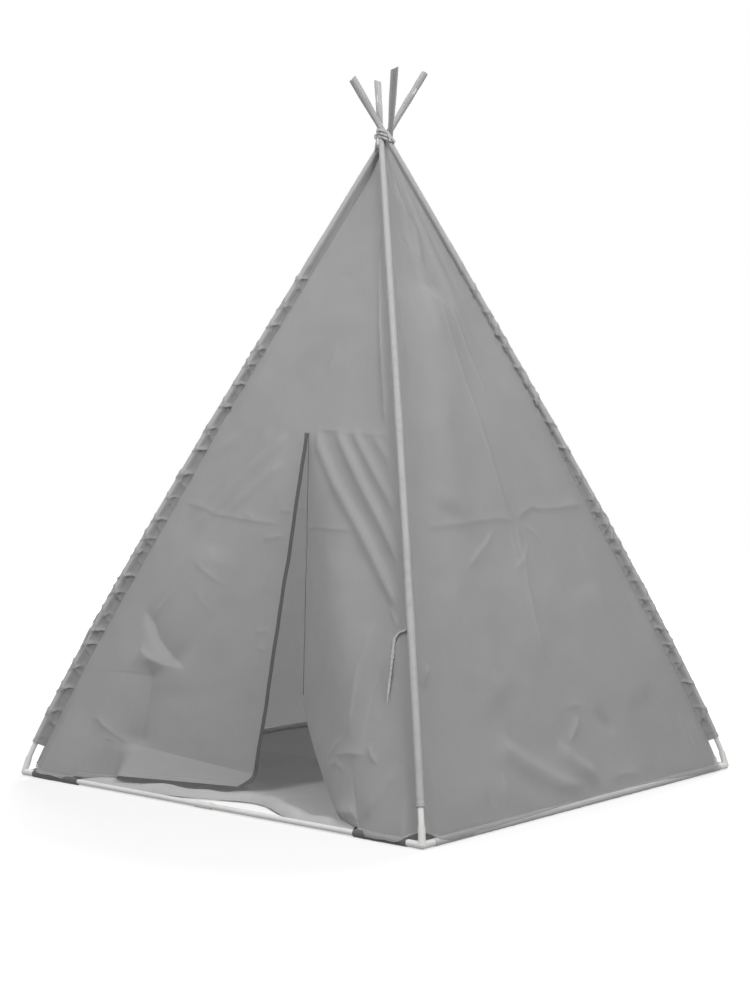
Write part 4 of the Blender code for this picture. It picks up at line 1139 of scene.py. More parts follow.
def rumple(x, z, seed, size, height):
    """Slight uneven waves of cloth that was packed small."""
    flat = [noise.noise(Vector((a / size, b / size, seed))) for a, b in zip(x.ravel(), z.ravel())]
    return height * np.array(flat).reshape(x.shape)


def mirrored(folds, shift):
    """The folds of a face turned left for right and moved up."""
    made = []
    for line, height, (low, high), sharp in folds:
        turned = tuple((-x, z + shift) for x, z in line)
        upright = abs(line[0][1] - line[-1][1]) > abs(line[0][0] - line[-1][0])
        if upright:
            made.append((turned, height, (high, low), sharp))
        else:
            made.append((turned[::-1], height, (low, high), sharp))
    return tuple(made)


def rows_of_points(points):
    """Points as rows of numbers."""
    return np.array([tuple(point) for point in points])


def wall_points(face, rows, columns):
    """Cloth of one wall as it stands on the door side, before its folds."""
    low = seam_start()
    span = pole_length() - PANEL_TOP_DROP - low
    left = rows_of_points([seam_point(low + span * row, -1, -1, face) for row in rows])[:, None]
    right = rows_of_points([seam_point(low + span * row, 0, 1, face) for row in rows])[:, None]
    share = np.array(columns)[None, :, None]
    base = left[0, 0] + (right[0, 0] - left[0, 0]) * share[0]
    feet = rows_of_points([bottom_point(point[0]) for point in base]) - base
    fade = (1.0 - np.minimum(np.array(rows) / 0.12, 1.0)) ** 2
    return left + (right - left) * share + feet[None] * fade[:, None, None]


def apron_points(foot, wraps, count):
    """Rows of the lower hem below a wall's foot line, laid round the outside of the channel."""
    around = PANEL_FOOT_HEIGHT - RAIL_HEIGHT
    back = PANEL_FOOT_SETBACK / around
    made = []
    for k in range(count, 0, -1):
        turn = wraps * k / count
        row = foot.copy()
        row[:, 1] -= around * (np.sin(turn - back) + math.sin(back))
        row[:, 2] += around * (np.cos(turn - back) - math.cos(back))
        made.append(row)
    return np.array(made)


def wall_columns(count, arch):
    """Column places, close together over the arches at both ends."""
    ends = [arch * (i / 12) ** 1.5 for i in range(12)]
    middle = [arch + (1.0 - 2 * arch) * i / count for i in range(count + 1)]
    return ends + middle + [1.0 - share for share in reversed(ends)]


def wall_rows(count):
    """Row places up a wall, with a few close ones for the hem."""
    low = WALL_PLAIN_START
    plain = [low + (1.0 - low) * (i / count) ** WALL_ROW_CROWDING for i in range(count + 1)]
    return list(WALL_HEM_ROWS) + plain


def fan(x, z, seed):
    """Folds that spread down from the tie, where the cloth is drawn together."""
    below = np.maximum(CROSSING_HEIGHT + RAIL_HEIGHT + 0.02 - z, 0.02)
    spread = x / below
    fall = np.clip(below / FAN_FALL, 0.0, 1.0)
    height = FAN_HEIGHT * (1.0 - fall) ** 1.2 * np.minimum(below / 0.14, 1.0)
    inside = smooth((0.40 - np.abs(spread)) / 0.16)
    broad, fine = FAN_WAVES
    return height * inside * (np.cos(spread * broad + seed) + 0.5 * np.cos(spread * fine + 2.3 * seed))


# Folds and creases of the cloth, in metres across and up each wall
RIGHT_WALL_FOLDS = (
    (((-0.008, 1.160), (0.012, 0.900), (0.015, 0.731), (0.014, 0.653), (0.032, 0.606), (0.022, 0.536),
      (0.010, 0.498), (-0.010, 0.408), (-0.013, 0.303)), 0.0018, (0.012, 0.005), True),
    (((-0.028, 1.440), (-0.017, 1.367), (0.005, 1.302), (-0.010, 1.200)), 0.0040, (0.012, 0.012), False),
    (((-0.064, 1.300), (-0.046, 1.258), (-0.024, 1.227), (0.020, 1.150)), 0.0022, (0.006, 0.010), True),
    (((-0.033, 1.429), (0.002, 1.423)), 0.0014, (0.005, 0.006), True),
    (((-0.065, 1.273), (-0.043, 1.273)), 0.0012, (0.004, 0.006), True),
    (((-0.014, 1.480), (-0.075, 1.322), (-0.117, 1.186), (-0.190, 0.980)), 0.0040, (0.014, 0.008), True),
    (((0.040, 1.120), (0.075, 0.900)), 0.0016, (0.008, 0.005), True),
    (((-0.007, 1.160), (-0.100, 0.895), (-0.200, 0.626)), 0.0080, (0.050, 0.060), False),
    (((-0.300, 0.609), (-0.189, 0.612), (-0.043, 0.621), (0.036, 0.617)), 0.0016, (0.004, 0.012), True),
    (((0.036, 0.617), (0.112, 0.645), (0.144, 0.639), (0.216, 0.640), (0.324, 0.647)),
     0.0018, (0.004, 0.012), True),
    (((0.040, 0.613), (0.089, 0.589), (0.120, 0.544)), 0.0014, (0.005, 0.008), True),
    (((-0.052, 0.604), (-0.103, 0.568), (-0.206, 0.516)), 0.0018, (0.006, 0.010), True),
    (((-0.001, 0.599), (0.001, 0.553), (-0.004, 0.507)), 0.0014, (0.005, 0.008), True),
    (((0.065, 0.570), (0.018, 0.529), (-0.040, 0.501)), 0.0016, (0.006, 0.009), True),
    (((0.059, 0.188), (0.011, 0.152), (-0.022, 0.130)), 0.0030, (0.006, 0.009), True),
    (((0.112, 0.194), (0.143, 0.160), (0.185, 0.133)), -0.0060, (0.016, 0.020), False),
    (((-0.013, 0.207), (0.096, 0.203)), 0.0014, (0.005, 0.008), True),
    (((-0.374, 0.114), (-0.366, 0.072), (-0.344, 0.022)), 0.0018, (0.004, 0.006), True),
    (((-0.286, 0.109), (-0.292, 0.069), (-0.302, 0.032)), 0.0018, (0.004, 0.006), True),
    (((-0.320, 0.110), (-0.318, 0.030)), 0.0012, (0.004, 0.005), True),
    (((-0.281, 0.164), (-0.197, 0.112), (-0.106, 0.065), (-0.027, 0.026)), 0.0070, (0.026, 0.020), False),
    (((-0.064, 0.139), (-0.024, 0.091), (0.059, 0.043)), 0.0080, (0.022, 0.018), False),
    (((-0.146, 0.053), (-0.024, 0.043), (0.009, 0.054)), 0.0020, (0.005, 0.008), True),
    (((0.086, 0.040), (0.147, 0.045), (0.244, 0.034)), 0.0022, (0.005, 0.008), True),
    (((0.206, 0.047), (0.300, 0.050)), 0.0016, (0.005, 0.007), True),
    (((0.459, 0.151), (0.466, 0.086), (0.464, 0.046)), 0.0018, (0.005, 0.006), True),
    (((0.491, 0.099), (0.484, 0.044)), 0.0014, (0.004, 0.006), True),
    (((-0.420, 0.337), (-0.454, 0.313), (-0.472, 0.287)), 0.0050, (0.010, 0.012), True),
    (((0.230, 0.470), (0.330, 0.180)), 0.0040, (0.060, 0.050), False),
    (((-0.300, 0.500), (-0.200, 0.230)), 0.0040, (0.050, 0.050), False),
)
LEFT_WALL_FOLDS = (
    (((0.010, 1.21), (-0.020, 0.98), (-0.008, 0.63), (0.000, 0.12)), 0.0018, (0.010, 0.050), True),
    (((-0.360, 0.635), (-0.020, 0.620), (0.350, 0.640)), 0.0016, (0.012, 0.030), True),
    (((0.050, 1.120), (0.210, 0.620)), 0.0090, (0.060, 0.050), False),
    (((0.030, 0.590), (0.150, 0.500)), 0.0016, (0.014, 0.012), True),
    (((-0.040, 0.600), (-0.120, 0.520)), 0.0016, (0.010, 0.014), True),
    (((-0.110, 0.190), (0.060, 0.080)), -0.0060, (0.020, 0.020), False),
    (((0.340, 0.180), (0.330, 0.030)), 0.0018, (0.010, 0.010), True),
    (((-0.470, 0.140), (-0.480, 0.030)), 0.0018, (0.010, 0.010), True),
)
WALL_FOLDS = {"right": RIGHT_WALL_FOLDS, "back": mirrored(RIGHT_WALL_FOLDS, 0.012), "left": LEFT_WALL_FOLDS}

# How far the lower hem laps round the outside of the channel: (place across the face, lap in radians)
HEM_WRAPS = {
    "right": ((-0.60, 0.1), (-0.52, 1.7), (-0.30, 1.2), (-0.05, 0.5), (0.15, 0.4), (0.30, 0.8), (0.44, 1.6),
              (0.52, 1.8), (0.60, 0.1)),
    "back": ((-0.60, 0.1), (-0.52, 1.6), (-0.20, 0.8), (0.10, 0.4), (0.40, 1.2), (0.52, 1.6), (0.60, 0.1)),
    "left": ((-0.60, 0.1), (-0.52, 1.6), (-0.30, 0.7), (0.05, 0.5), (0.35, 1.3), (0.52, 1.6), (0.60, 0.1)),
    "door": ((-0.60, 0.4), (-0.535, 1.2), (-0.44, 1.4), (-0.42, 0.0), (0.42, 0.0), (0.43, 2.1), (0.535, 1.8),
             (0.60, 0.4)),
}


def hem_wraps(face_name, x, seed):
    """Lap of the lower hem at each place across a face, slightly uneven."""
    places, wraps = zip(*HEM_WRAPS[face_name])
    uneven = np.array([noise.noise(Vector((place / 0.04, seed, 8.0))) for place in x])
    return np.maximum(np.interp(x, places, wraps) * (1.0 + 0.25 * uneven), 0.05)


def hem_lift(height_above, sizes):
    """Extra height of a turned hem: a flat band with a stitched valley at its upper edge."""
    band = 1.0 - smooth((height_above - sizes.hem_width) / 0.0015 + 0.5)
    valley = np.exp(-(((height_above - sizes.hem_width - 0.0015) / 0.0016) ** 2))
    return sizes.hem_rise * (band - 0.5 * valley)


def wall_relief(x, z, face):
    """Everything that lifts a plain wall's cloth off its flat surface."""
    relief = fan(x, z, 1.7 * face)
    for fold in WALL_FOLDS[FACE_NAMES[face]]:
        relief = relief + fold_height(x, z, fold) * (CREASE_STRENGTH if fold[3] else FOLD_STRENGTH)
    broad, fine = WALL_RUMPLES
    return relief + rumple(x, z, face, *broad) + rumple(x, z, face + 9, *fine)


def cloth_walk(points, axis):
    """Distance walked over a grid of points, along its rows or across them."""
    before = points[:1] if axis == 0 else points[:, :1]
    return np.cumsum(np.linalg.norm(np.diff(points, axis=axis, prepend=before), axis=2), axis=axis)


def from_sides(points, share):
    """Distance of each point from the nearer side of its cloth."""
    width = np.linalg.norm(points[:, -1] - points[:, 0], axis=1)
    return width[:, None] * np.minimum(share, 1.0 - share)[None]


class TEEPEE_OT_walls(bpy.types.Operator):
    """Makes the three plain walls with their folds, creases and hems."""

    bl_idname = "teepee.walls"
    bl_label = "Plain walls"

    def execute(self, context):
        sizes = context.scene.teepee_sizes
        cloth = woven_polyester("polyester_cover_woven", context.scene.teepee_colours.cover, 0.0012)
        width = edge_low_point(1).x - edge_low_point(-1).x
        arch = (ARCH_RUN - (HALF_SIDE - abs(edge_low_point(1).x))) / width
        rows = wall_rows(WALL_ROWS)
        columns = wall_columns(WALL_COLUMNS, arch)
        apron_rows = 7
        for face in (1, 2, 3):
            name = FACE_NAMES[face]
            wall = wall_points(face, rows, columns)
            wraps = hem_wraps(name, wall[0, :, 0], face)
            plain = np.concatenate((apron_points(wall[0], wraps, apron_rows), wall))
            x = plain[:, :, 0]
            up = cloth_walk(plain, 0)
            relief = wall_relief(x, plain[:, :, 2], face) * sizes.fold_scale
            relief = relief * smooth(from_sides(plain, np.array(columns)) / SIDE_CALM)
            relief = relief * np.clip((up - up[apron_rows]) / 0.05, 0.0, 1.0) + hem_lift(up, sizes)
            points = plain + sheet_normals(plain) * relief[:, :, None]
            mesh = mesh_of_sheet(f"{name}_wall", points, sizes.cloth_thickness, np.stack((x, up), axis=2))
            mesh.transform(quarter_turn(face))
            piece = place_object(f"{name}_wall", mesh, cloth, "tent", (f"{name}_panel",))
        return {"FINISHED"}


# Door: an upper cloth, and two lower halves that run from a pole over the hinge line to a free edge


def slit_apex():
    """Top of the slit between the two halves of the door."""
    run = (SLIT_TOP - RAIL_HEIGHT) / math.cos(pole_lean())
    level = (seam_point(run, -1, -1) + seam_point(run, 0, 1)) / 2
    return Vector((SLIT_OFFSET, level.y + SLIT_SINK, SLIT_TOP))


def hinge_foot(hand):
    """Foot of the line that a flap swings on."""
    return bottom_point(hand * DOOR_FOOT)


def hinge_axis(hand):
    """Direction of the line that a flap swings on, from its foot to the top of the slit."""
    return (slit_apex() - hinge_foot(hand)).normalized()


def flap_corner(hand):
    """Lower free corner of a flap as it hangs."""
    apex = slit_apex()
    aside, tuck = (LEFT_FLAP_ASIDE, LEFT_FLAP_TUCK) if hand < 0 else (RIGHT_FLAP_ASIDE, RIGHT_FLAP_TUCK)
    return Vector((aside, apex.y - tuck, FLAP_HEM_HEIGHT))


def flap_direction(hand):
    """Direction from a flap's hinge line towards its free edge."""
    axis = hinge_axis(hand)
    towards = flap_corner(hand) - hinge_foot(hand)
    return (towards - axis * towards.dot(axis)).normalized()


def free_edge(hand, height):
    """Point of a flap's free edge at a height above its hem, round its lower corner."""
    apex = slit_apex()
    corner = flap_corner(hand)
    run, rise = (FLAP_CORNER_RUN, FLAP_CORNER_RISE) if hand > 0 else (SMALL_CORNER, SMALL_CORNER)
    share = height / (apex.z - corner.z)
    along_hem = (hinge_foot(hand) - corner).normalized()
    point = corner.lerp(apex, share) + Vector((hand * SLIT_GAP / 2 * (1.0 - share), 0.0, 0.0))
    if height < rise:
        round_share = 1.0 - (1.0 - (1.0 - height / rise) ** CORNER_POWER) ** (1 / CORNER_POWER)
        point += along_hem * run * round_share
    return point


def soft_ramp(distance, width):
    """Distance beyond a line, rounded off over a width on both sides of it."""
    if distance >= width:
        return distance
    if distance <= -width:
        return 0.0
    return (distance + width) ** 2 / (4 * width)


def edge_height(hand, row):
    """Height above the hem at which a row meets the free edge; the lowest rows go round the corner."""
    rise = FLAP_CORNER_RISE if hand > 0 else SMALL_CORNER
    if row < CORNER_SPAN_SHARE:
        return rise * row / CORNER_SPAN_SHARE
    return rise + (SLIT_TOP - FLAP_HEM_HEIGHT - rise) * (row - CORNER_SPAN_SHARE) / (1.0 - CORNER_SPAN_SHARE)


def half_door_points(hand, rows, strip_columns, flap_columns):
    """Lower half of the door, from the pole over the hinge line to the free edge, before its folds."""
    low = seam_start()
    slit_run = (SLIT_TOP - RAIL_HEIGHT) / math.cos(pole_lean())
    corner = -1 if hand < 0 else 0
    foot = hinge_foot(hand)
    apex = slit_apex()
    seam_low = seam_point(low, corner, hand)
    places = []
    for column in strip_columns:
        base = foot.lerp(seam_low, column)
        places.append((column, 0.0, bottom_point(base.x) - base))
    places += [(0.0, column, Vector((0.0, 0.0, 0.0))) for column in flap_columns]
    points = np.zeros((len(rows), len(places), 3))
    for i, row in enumerate(rows):
        line = foot.lerp(apex, row)
        strip = seam_point(low + (slit_run - low) * row, corner, hand) - line
        flap = free_edge(hand, edge_height(hand, row)) - line
        fade = (1.0 - min(row / 0.22, 1.0)) ** 2
        round_off = min(HINGE_ROUND, 0.45 * flap.length, 0.45 * strip.length)
        for j, (strip_share, flap_share, drop) in enumerate(places):
            signed = flap_share * flap.length - strip_share * strip.length
            towards_flap = flap.normalized() * soft_ramp(signed, round_off)
            towards_strip = strip.normalized() * soft_ramp(-signed, round_off)
            points[i, j] = line + towards_flap + towards_strip + drop * fade
    return points


def upper_door_points(rows, columns):
    """Door cloth above the slit, before its folds."""
    low = (SLIT_TOP - RAIL_HEIGHT) / math.cos(pole_lean())
    high = pole_length() - PANEL_TOP_DROP
    apex = slit_apex()
    top = (seam_point(high, -1, -1) + seam_point(high, 0, 1)) / 2
    sink = apex.y - (seam_point(low, -1, -1).y + seam_point(low, 0, 1).y) / 2
    points = np.zeros((len(rows), 2 * len(columns) - 1, 3))
    for i, row in enumerate(rows):
        left = seam_point(low + (high - low) * row, -1, -1)
        right = seam_point(low + (high - low) * row, 0, 1)
        middle = apex.lerp(top, row)
        middle.y = (left + right).y / 2 + sink * (1.0 - ease(row / 0.5))
        line = [left.lerp(middle, column) for column in columns]
        line += [middle.lerp(right, column) for column in columns[1:]]
        points[i] = line
    return points


# Folds and creases of the door's cloth, in metres across and up its face
DOOR_FOLDS = (
    # The cloth over the slit
    (((0.049, 1.389), (0.070, 1.266), (0.148, 1.054), (0.242, 0.820)), 0.0045, (0.006, 0.012), True),
    (((0.026, 1.025), (0.021, 0.936)), 0.0018, (0.006, 0.009), True),
    (((-0.020, 1.195), (0.036, 1.177)), 0.0010, (0.004, 0.008), True),
    (((0.020, 0.822), (0.130, 0.812), (0.266, 0.806)), 0.0020, (0.006, 0.016), True),
    (((-0.380, 0.700), (-0.191, 0.815)), 0.0040, (0.016, 0.016), False),
    # The left half
    (((-0.300, 0.610), (-0.250, 0.665), (-0.191, 0.727), (-0.100, 0.830)), 0.0050, (0.014, 0.014), False),
    (((-0.270, 0.580), (-0.218, 0.638), (-0.146, 0.720), (-0.050, 0.815)), 0.0055, (0.014, 0.014), False),
    (((-0.181, 0.623), (-0.101, 0.697), (-0.034, 0.751)), 0.0045, (0.012, 0.014), False),
    (((-0.330, 0.648), (-0.270, 0.640), (-0.232, 0.630), (-0.217, 0.623), (-0.158, 0.619), (-0.085, 0.610),
      (-0.030, 0.605)), 0.0020, (0.004, 0.012), True),
    (((-0.131, 0.632), (-0.093, 0.614)), 0.0018, (0.005, 0.008), True),
    (((-0.074, 0.568), (-0.018, 0.581)), 0.0022, (0.005, 0.008), True),
    (((-0.041, 0.637), (-0.006, 0.634)), 0.0018, (0.005, 0.007), True),
    (((-0.215, 0.459), (-0.158, 0.392)), 0.0014, (0.006, 0.008), True),
    (((-0.252, 0.524), (-0.133, 0.459)), 0.0016, (0.006, 0.010), True),
    (((-0.360, 0.400), (-0.340, 0.386), (-0.298, 0.342), (-0.205, 0.270)), -0.0150, (0.010, 0.055), True),
    (((-0.340, 0.330), (-0.317, 0.303), (-0.289, 0.289), (-0.255, 0.279), (-0.211, 0.271)),
     0.0080, (0.030, 0.012), True),
    (((-0.289, 0.295), (-0.284, 0.259), (-0.292, 0.168), (-0.300, 0.075)), -0.0150, (0.040, 0.030), True),
    (((-0.430, 0.142), (-0.419, 0.147), (-0.404, 0.149), (-0.388, 0.137), (-0.357, 0.123)),
     0.0030, (0.006, 0.008), True),
    (((-0.388, 0.137), (-0.303, 0.095)), 0.0030, (0.006, 0.012), True),
    (((-0.380, 0.110), (-0.340, 0.103)), 0.0014, (0.004, 0.007), True),
    (((-0.068, 0.357), (-0.030, 0.366)), 0.0018, (0.005, 0.007), True),
    (((-0.062, 0.328), (-0.030, 0.317)), 0.0018, (0.005, 0.007), True),
    (((-0.190, 0.560), (-0.230, 0.200)), 0.0040, (0.050, 0.050), False),
    # The right half
    (((0.030, 0.830), (0.057, 0.779), (0.137, 0.696), (0.247, 0.597), (0.338, 0.509), (0.410, 0.440)),
     0.0085, (0.013, 0.012), False),
    (((0.090, 0.825), (0.114, 0.800), (0.207, 0.704), (0.303, 0.612), (0.400, 0.520)),
     0.0080, (0.012, 0.011), False),
    (((0.140, 0.825), (0.165, 0.800), (0.251, 0.718), (0.360, 0.620)), 0.0060, (0.011, 0.010), False),
    (((0.200, 0.815), (0.275, 0.752), (0.325, 0.700)), 0.0035, (0.010, 0.009), False),
    (((-0.008, 0.596), (0.100, 0.602), (0.240, 0.599)), 0.0018, (0.004, 0.012), True),
    (((0.346, 0.419), (0.330, 0.329), (0.344, 0.187)), 0.0030, (0.030, 0.005), True),
    (((0.394, 0.341), (0.387, 0.259), (0.393, 0.180)), -0.0022, (0.006, 0.020), True),
    (((0.285, 0.132), (0.350, 0.150), (0.417, 0.157)), 0.0040, (0.007, 0.012), True),
    (((0.405, 0.182), (0.422, 0.155), (0.449, 0.137)), 0.0030, (0.006, 0.008), True),
    (((0.240, 0.095), (0.312, 0.123), (0.366, 0.113)), 0.0045, (0.008, 0.012), True),
    (((0.330, 0.183), (0.285, 0.145), (0.235, 0.105)), 0.0040, (0.010, 0.010), True),
    (((0.436, 0.028), (0.474, 0.098), (0.509, 0.150)), 0.0040, (0.014, 0.014), False),
    (((0.387, 0.052), (0.434, 0.022)), 0.0030, (0.007, 0.010), True),
    (((0.375, 0.450), (0.420, 0.400)), 0.0025, (0.006, 0.010), True),
    (((0.020, 0.560), (0.060, 0.500), (0.130, 0.440)), 0.0035, (0.014, 0.018), False),
)


def door_relief(x, z, sizes):
    """Everything that lifts the door's cloth off its plain surface; the three door pieces share it."""
    broad, fine = DOOR_RUMPLES
    relief = rumple(x, z, 3.0, *broad) + rumple(x, z, 12.0, *fine)
    for fold in DOOR_FOLDS:
        relief = relief + fold_height(x, z, fold) * (DOOR_CREASE_STRENGTH if fold[3] else 1.0)
    return relief * sizes.fold_scale


def hem_kick(x, z):
    """The left half's hem turns out below the line of its low fold."""
    places, heights = zip(*KICK_LINE)
    below = np.interp(x, places, heights) - z
    inside = smooth((x - places[0] + 0.03) / 0.05)
    return KICK_SLOPE * np.maximum(below, 0.0) * inside


def half_door_rows(count):
    """Row places up a door half, with a few close ones for the hem and at the top of the slit."""
    low, high = DOOR_PLAIN_ROWS
    plain = [low + (high - low) * i / count for i in range(count + 1)]
    return list(DOOR_HEM_ROWS) + plain + list(SLIT_TOP_ROWS)


def edge_tape(points, width, rise, low_row):
    """Rings of the tape folded over a free edge; the edge is the last column of points."""
    rings = []
    outward = np.array(DOOR_OUT)
    for row in points[low_row:-1]:
        edge = row[-1]
        inward = row[-6] - edge
        inward = inward - outward * np.dot(inward, outward)
        inward = inward / max(np.linalg.norm(inward), MERGE_DISTANCE)
        walk = np.linalg.norm(row[::-1] - edge, axis=1)
        spans = [0.0, 0.35 * width, 0.7 * width, width]
        lane = [np.array([np.interp(span, walk, row[::-1, axis]) for axis in range(3)]) for span in spans]
        ring = [edge - inward * rise] + [point + outward * rise for point in lane]
        ring += [point - outward * rise for point in reversed(lane)]
        rings.append([Vector(point) for point in ring])
    return rings


class TEEPEE_OT_door(bpy.types.Operator):
    """Makes the door wall: the cloth over the slit and the two halves below it that end in free flaps."""

    bl_idname = "teepee.door"
    bl_label = "Door wall and flaps"

    def execute(self, context):
        sizes = context.scene.teepee_sizes
        cloth = bpy.data.materials["polyester_cover_woven"]
        colour = context.scene.teepee_colours.tape
        tape_cloth = woven_polyester(
            "polyester_binding_tape", colour, 0.0010, roughness=0.7, sheen=0.1, mottle=0.03, see_through=0.0
        )
        self.cloth_over_slit(cloth, sizes)
        for name, hand, tape_width, tape_low in DOOR_TAPES:
            self.door_half(name, hand, tape_width, tape_low, cloth, tape_cloth, sizes)
        return {"FINISHED"}

    def cloth_over_slit(self, cloth, sizes):
        """The door's cloth from the tie down to the top of the slit."""
        plain = upper_door_points([i / 200 for i in range(201)], [i / 80 for i in range(81)])
        x = plain[:, :, 0]
        z = plain[:, :, 2]
        sides = from_sides(plain, np.linspace(0.0, 1.0, plain.shape[1]))
        relief = door_relief(x, z, sizes) * smooth(sides / DOOR_SIDE_CALM)
        points = plain + np.array(DOOR_OUT) * relief[:, :, None]
        mesh = mesh_of_sheet("door_upper", points, sizes.cloth_thickness, np.stack((x, z * 1.08), axis=2))
        upper = place_object("door_upper", mesh, cloth, "tent", ("door_panel",))

    def door_half(self, name, hand, tape_width, tape_low, cloth, tape_cloth, sizes):
        """One lower half: a strip beside its pole, and the flap beside the slit."""
        rows = half_door_rows(DOOR_HALF_ROWS)
        strip_columns = [1.0 - (i / 70) ** 1.2 for i in range(71)]
        flap_columns = [i / 140 for i in range(1, 136)] + [0.972, 0.980, 0.987, 0.994, 1.0]
        apron_rows = 6
        plain = half_door_points(hand, rows, strip_columns, flap_columns)
        wraps = hem_wraps("door", plain[0, :, 0], 6.0 + hand)
        wraps[len(strip_columns) :] = 0.05
        plain = np.concatenate((apron_points(plain[0], wraps, apron_rows), plain))
        x = plain[:, :, 0]
        z = plain[:, :, 2]
        up = cloth_walk(plain, 0)
        above = np.clip((up - up[apron_rows]) / 0.03, 0.0, 1.0)
        flap_share = np.array([0.0] * len(strip_columns) + flap_columns)[None]
        relief = door_relief(x, z, sizes) * smooth(cloth_walk(plain, 1) / DOOR_SIDE_CALM) * above
        if hand < 0:
            relief = relief + hem_kick(x, z) * smooth(flap_share / 0.12)
        else:
            low = np.maximum(1.0 - np.array([0.0] * apron_rows + rows) / 0.3, 0.0)[:, None] ** 2
            belly = RIGHT_BULGE * np.sin(math.pi * np.minimum(flap_share / 0.9, 1.0))
            relief = relief + belly * low * above
        points = plain + np.array(DOOR_OUT) * (relief + hem_lift(up, sizes))[:, :, None]
        places = np.stack((x, up), axis=2)
        rings = edge_tape(points, tape_width, sizes.cloth_thickness / 2 + TAPE_RISE, apron_rows + tape_low)
        if hand > 0:
            points = points[:, ::-1]
            places = places[:, ::-1]
        mesh = mesh_of_sheet(f"{name}_door_half", points, sizes.cloth_thickness, places)
        node = f"{name}_door_flap"
        piece = place_object(f"{name}_door_half", mesh, cloth, None, (node,))
        tape_mesh = mesh_of_rings(f"{name}_edge_tape", rings)
        tape = place_object(f"{name}_edge_tape", tape_mesh, tape_cloth, None)
        start = (hinge_foot(hand) + slit_apex()) / 2
        for made in (piece, tape):
            tuple(start + flap_direction(hand) * 0.05)
            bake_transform(made)


# Ground sheet with its channels

# Packing creases of the ground sheet, in metres to the right of the middle and into the tent
GROUND_FOLDS = (
    (((-0.5, 0.0), (0.5, 0.02)), 0.004, (0.012, 0.030), True),
    (((0.0, 0.5), (0.01, -0.5)), 0.004, (0.012, 0.030), True),
    (((-0.4, -0.35), (0.1, -0.46)), 0.006, (0.020, 0.040), False),
)


def ground_recess(line):
    """How far the ground sheet's slack front edge lies behind the base tubes."""
    share = np.clip((line + DOOR_CHANNEL_END) / (2 * DOOR_CHANNEL_END), 0.0, 1.0)
    pulled = PULLED_DEPTH * np.exp(-(((line - PULLED_PLACE) / PULLED_WIDTH) ** 2))
    return FLOOR_INSET * np.sin(math.pi * share) ** 2 + pulled


def ground_points(count):
    """The ground sheet's cloth: cut corners, a slack front edge, and the creases of its packing."""
    inner = HALF_SIDE - GROUND_GAP
    share = np.linspace(0.0, 1.0, count + 1)
    line = -inner + 2 * inner * share
    front = -inner + ground_recess(line)
    x = np.repeat(line[None, :], count + 1, axis=0)
    y = front[None, :] + (inner - front[None, :]) * share[:, None]
    beyond = np.maximum(np.abs(x) + np.abs(y) - (2 * inner - FLOOR_CORNER_CUT), 0.0) / 2
    x = x - np.sign(x) * beyond
    y = y - np.sign(y) * beyond
    broad, fine = GROUND_RUMPLES
    lift = np.maximum(rumple(x, y, 4.0, *broad), 0.0) + np.maximum(rumple(x, y, 5.0, *fine), 0.0)
    for fold in GROUND_FOLDS:
        lift = lift + fold_height(x, y, fold)
    return np.stack((x, y, GROUND_LIFT + lift), axis=2)


def front_hem_points():
    """The hem of the ground sheet's free front edge, which stands up a little behind the base tubes."""
    end = DOOR_CHANNEL_END + 0.004
    line = np.linspace(-end, end, 170)
    front = -HALF_SIDE + GROUND_GAP + 0.002 + ground_recess(line)
    wavy = np.array([noise.noise(Vector((place / 0.075, 2.0, 6.0))) for place in line])
    tall = FRONT_HEM_TALL + 0.0065 * wavy
    across = np.linspace(0.0, 1.0, 16)
    points = np.zeros((len(across), len(line), 3))
    for i, place in enumerate(across):
        points[i, :, 0] = line
        points[i, :, 1] = front + FRONT_HEM_WIDTH * place
        points[i, :, 2] = FRONT_HEM_LIFT + tall * math.sin(math.pi * place**0.8)
    return points


def channel_bunch(run, number, angles):
    """Small crosswise bunches of a channel's cloth, on its upper outer side."""
    uneven = np.array([noise.noise(Vector((run / 0.02, angle * 0.7, 5.0 + number))) for angle in angles])
    return np.maximum(1.0 - 2.2 * np.abs(uneven), 0.0) ** 2 * np.maximum(np.cos(angles - 2.2), 0.0)


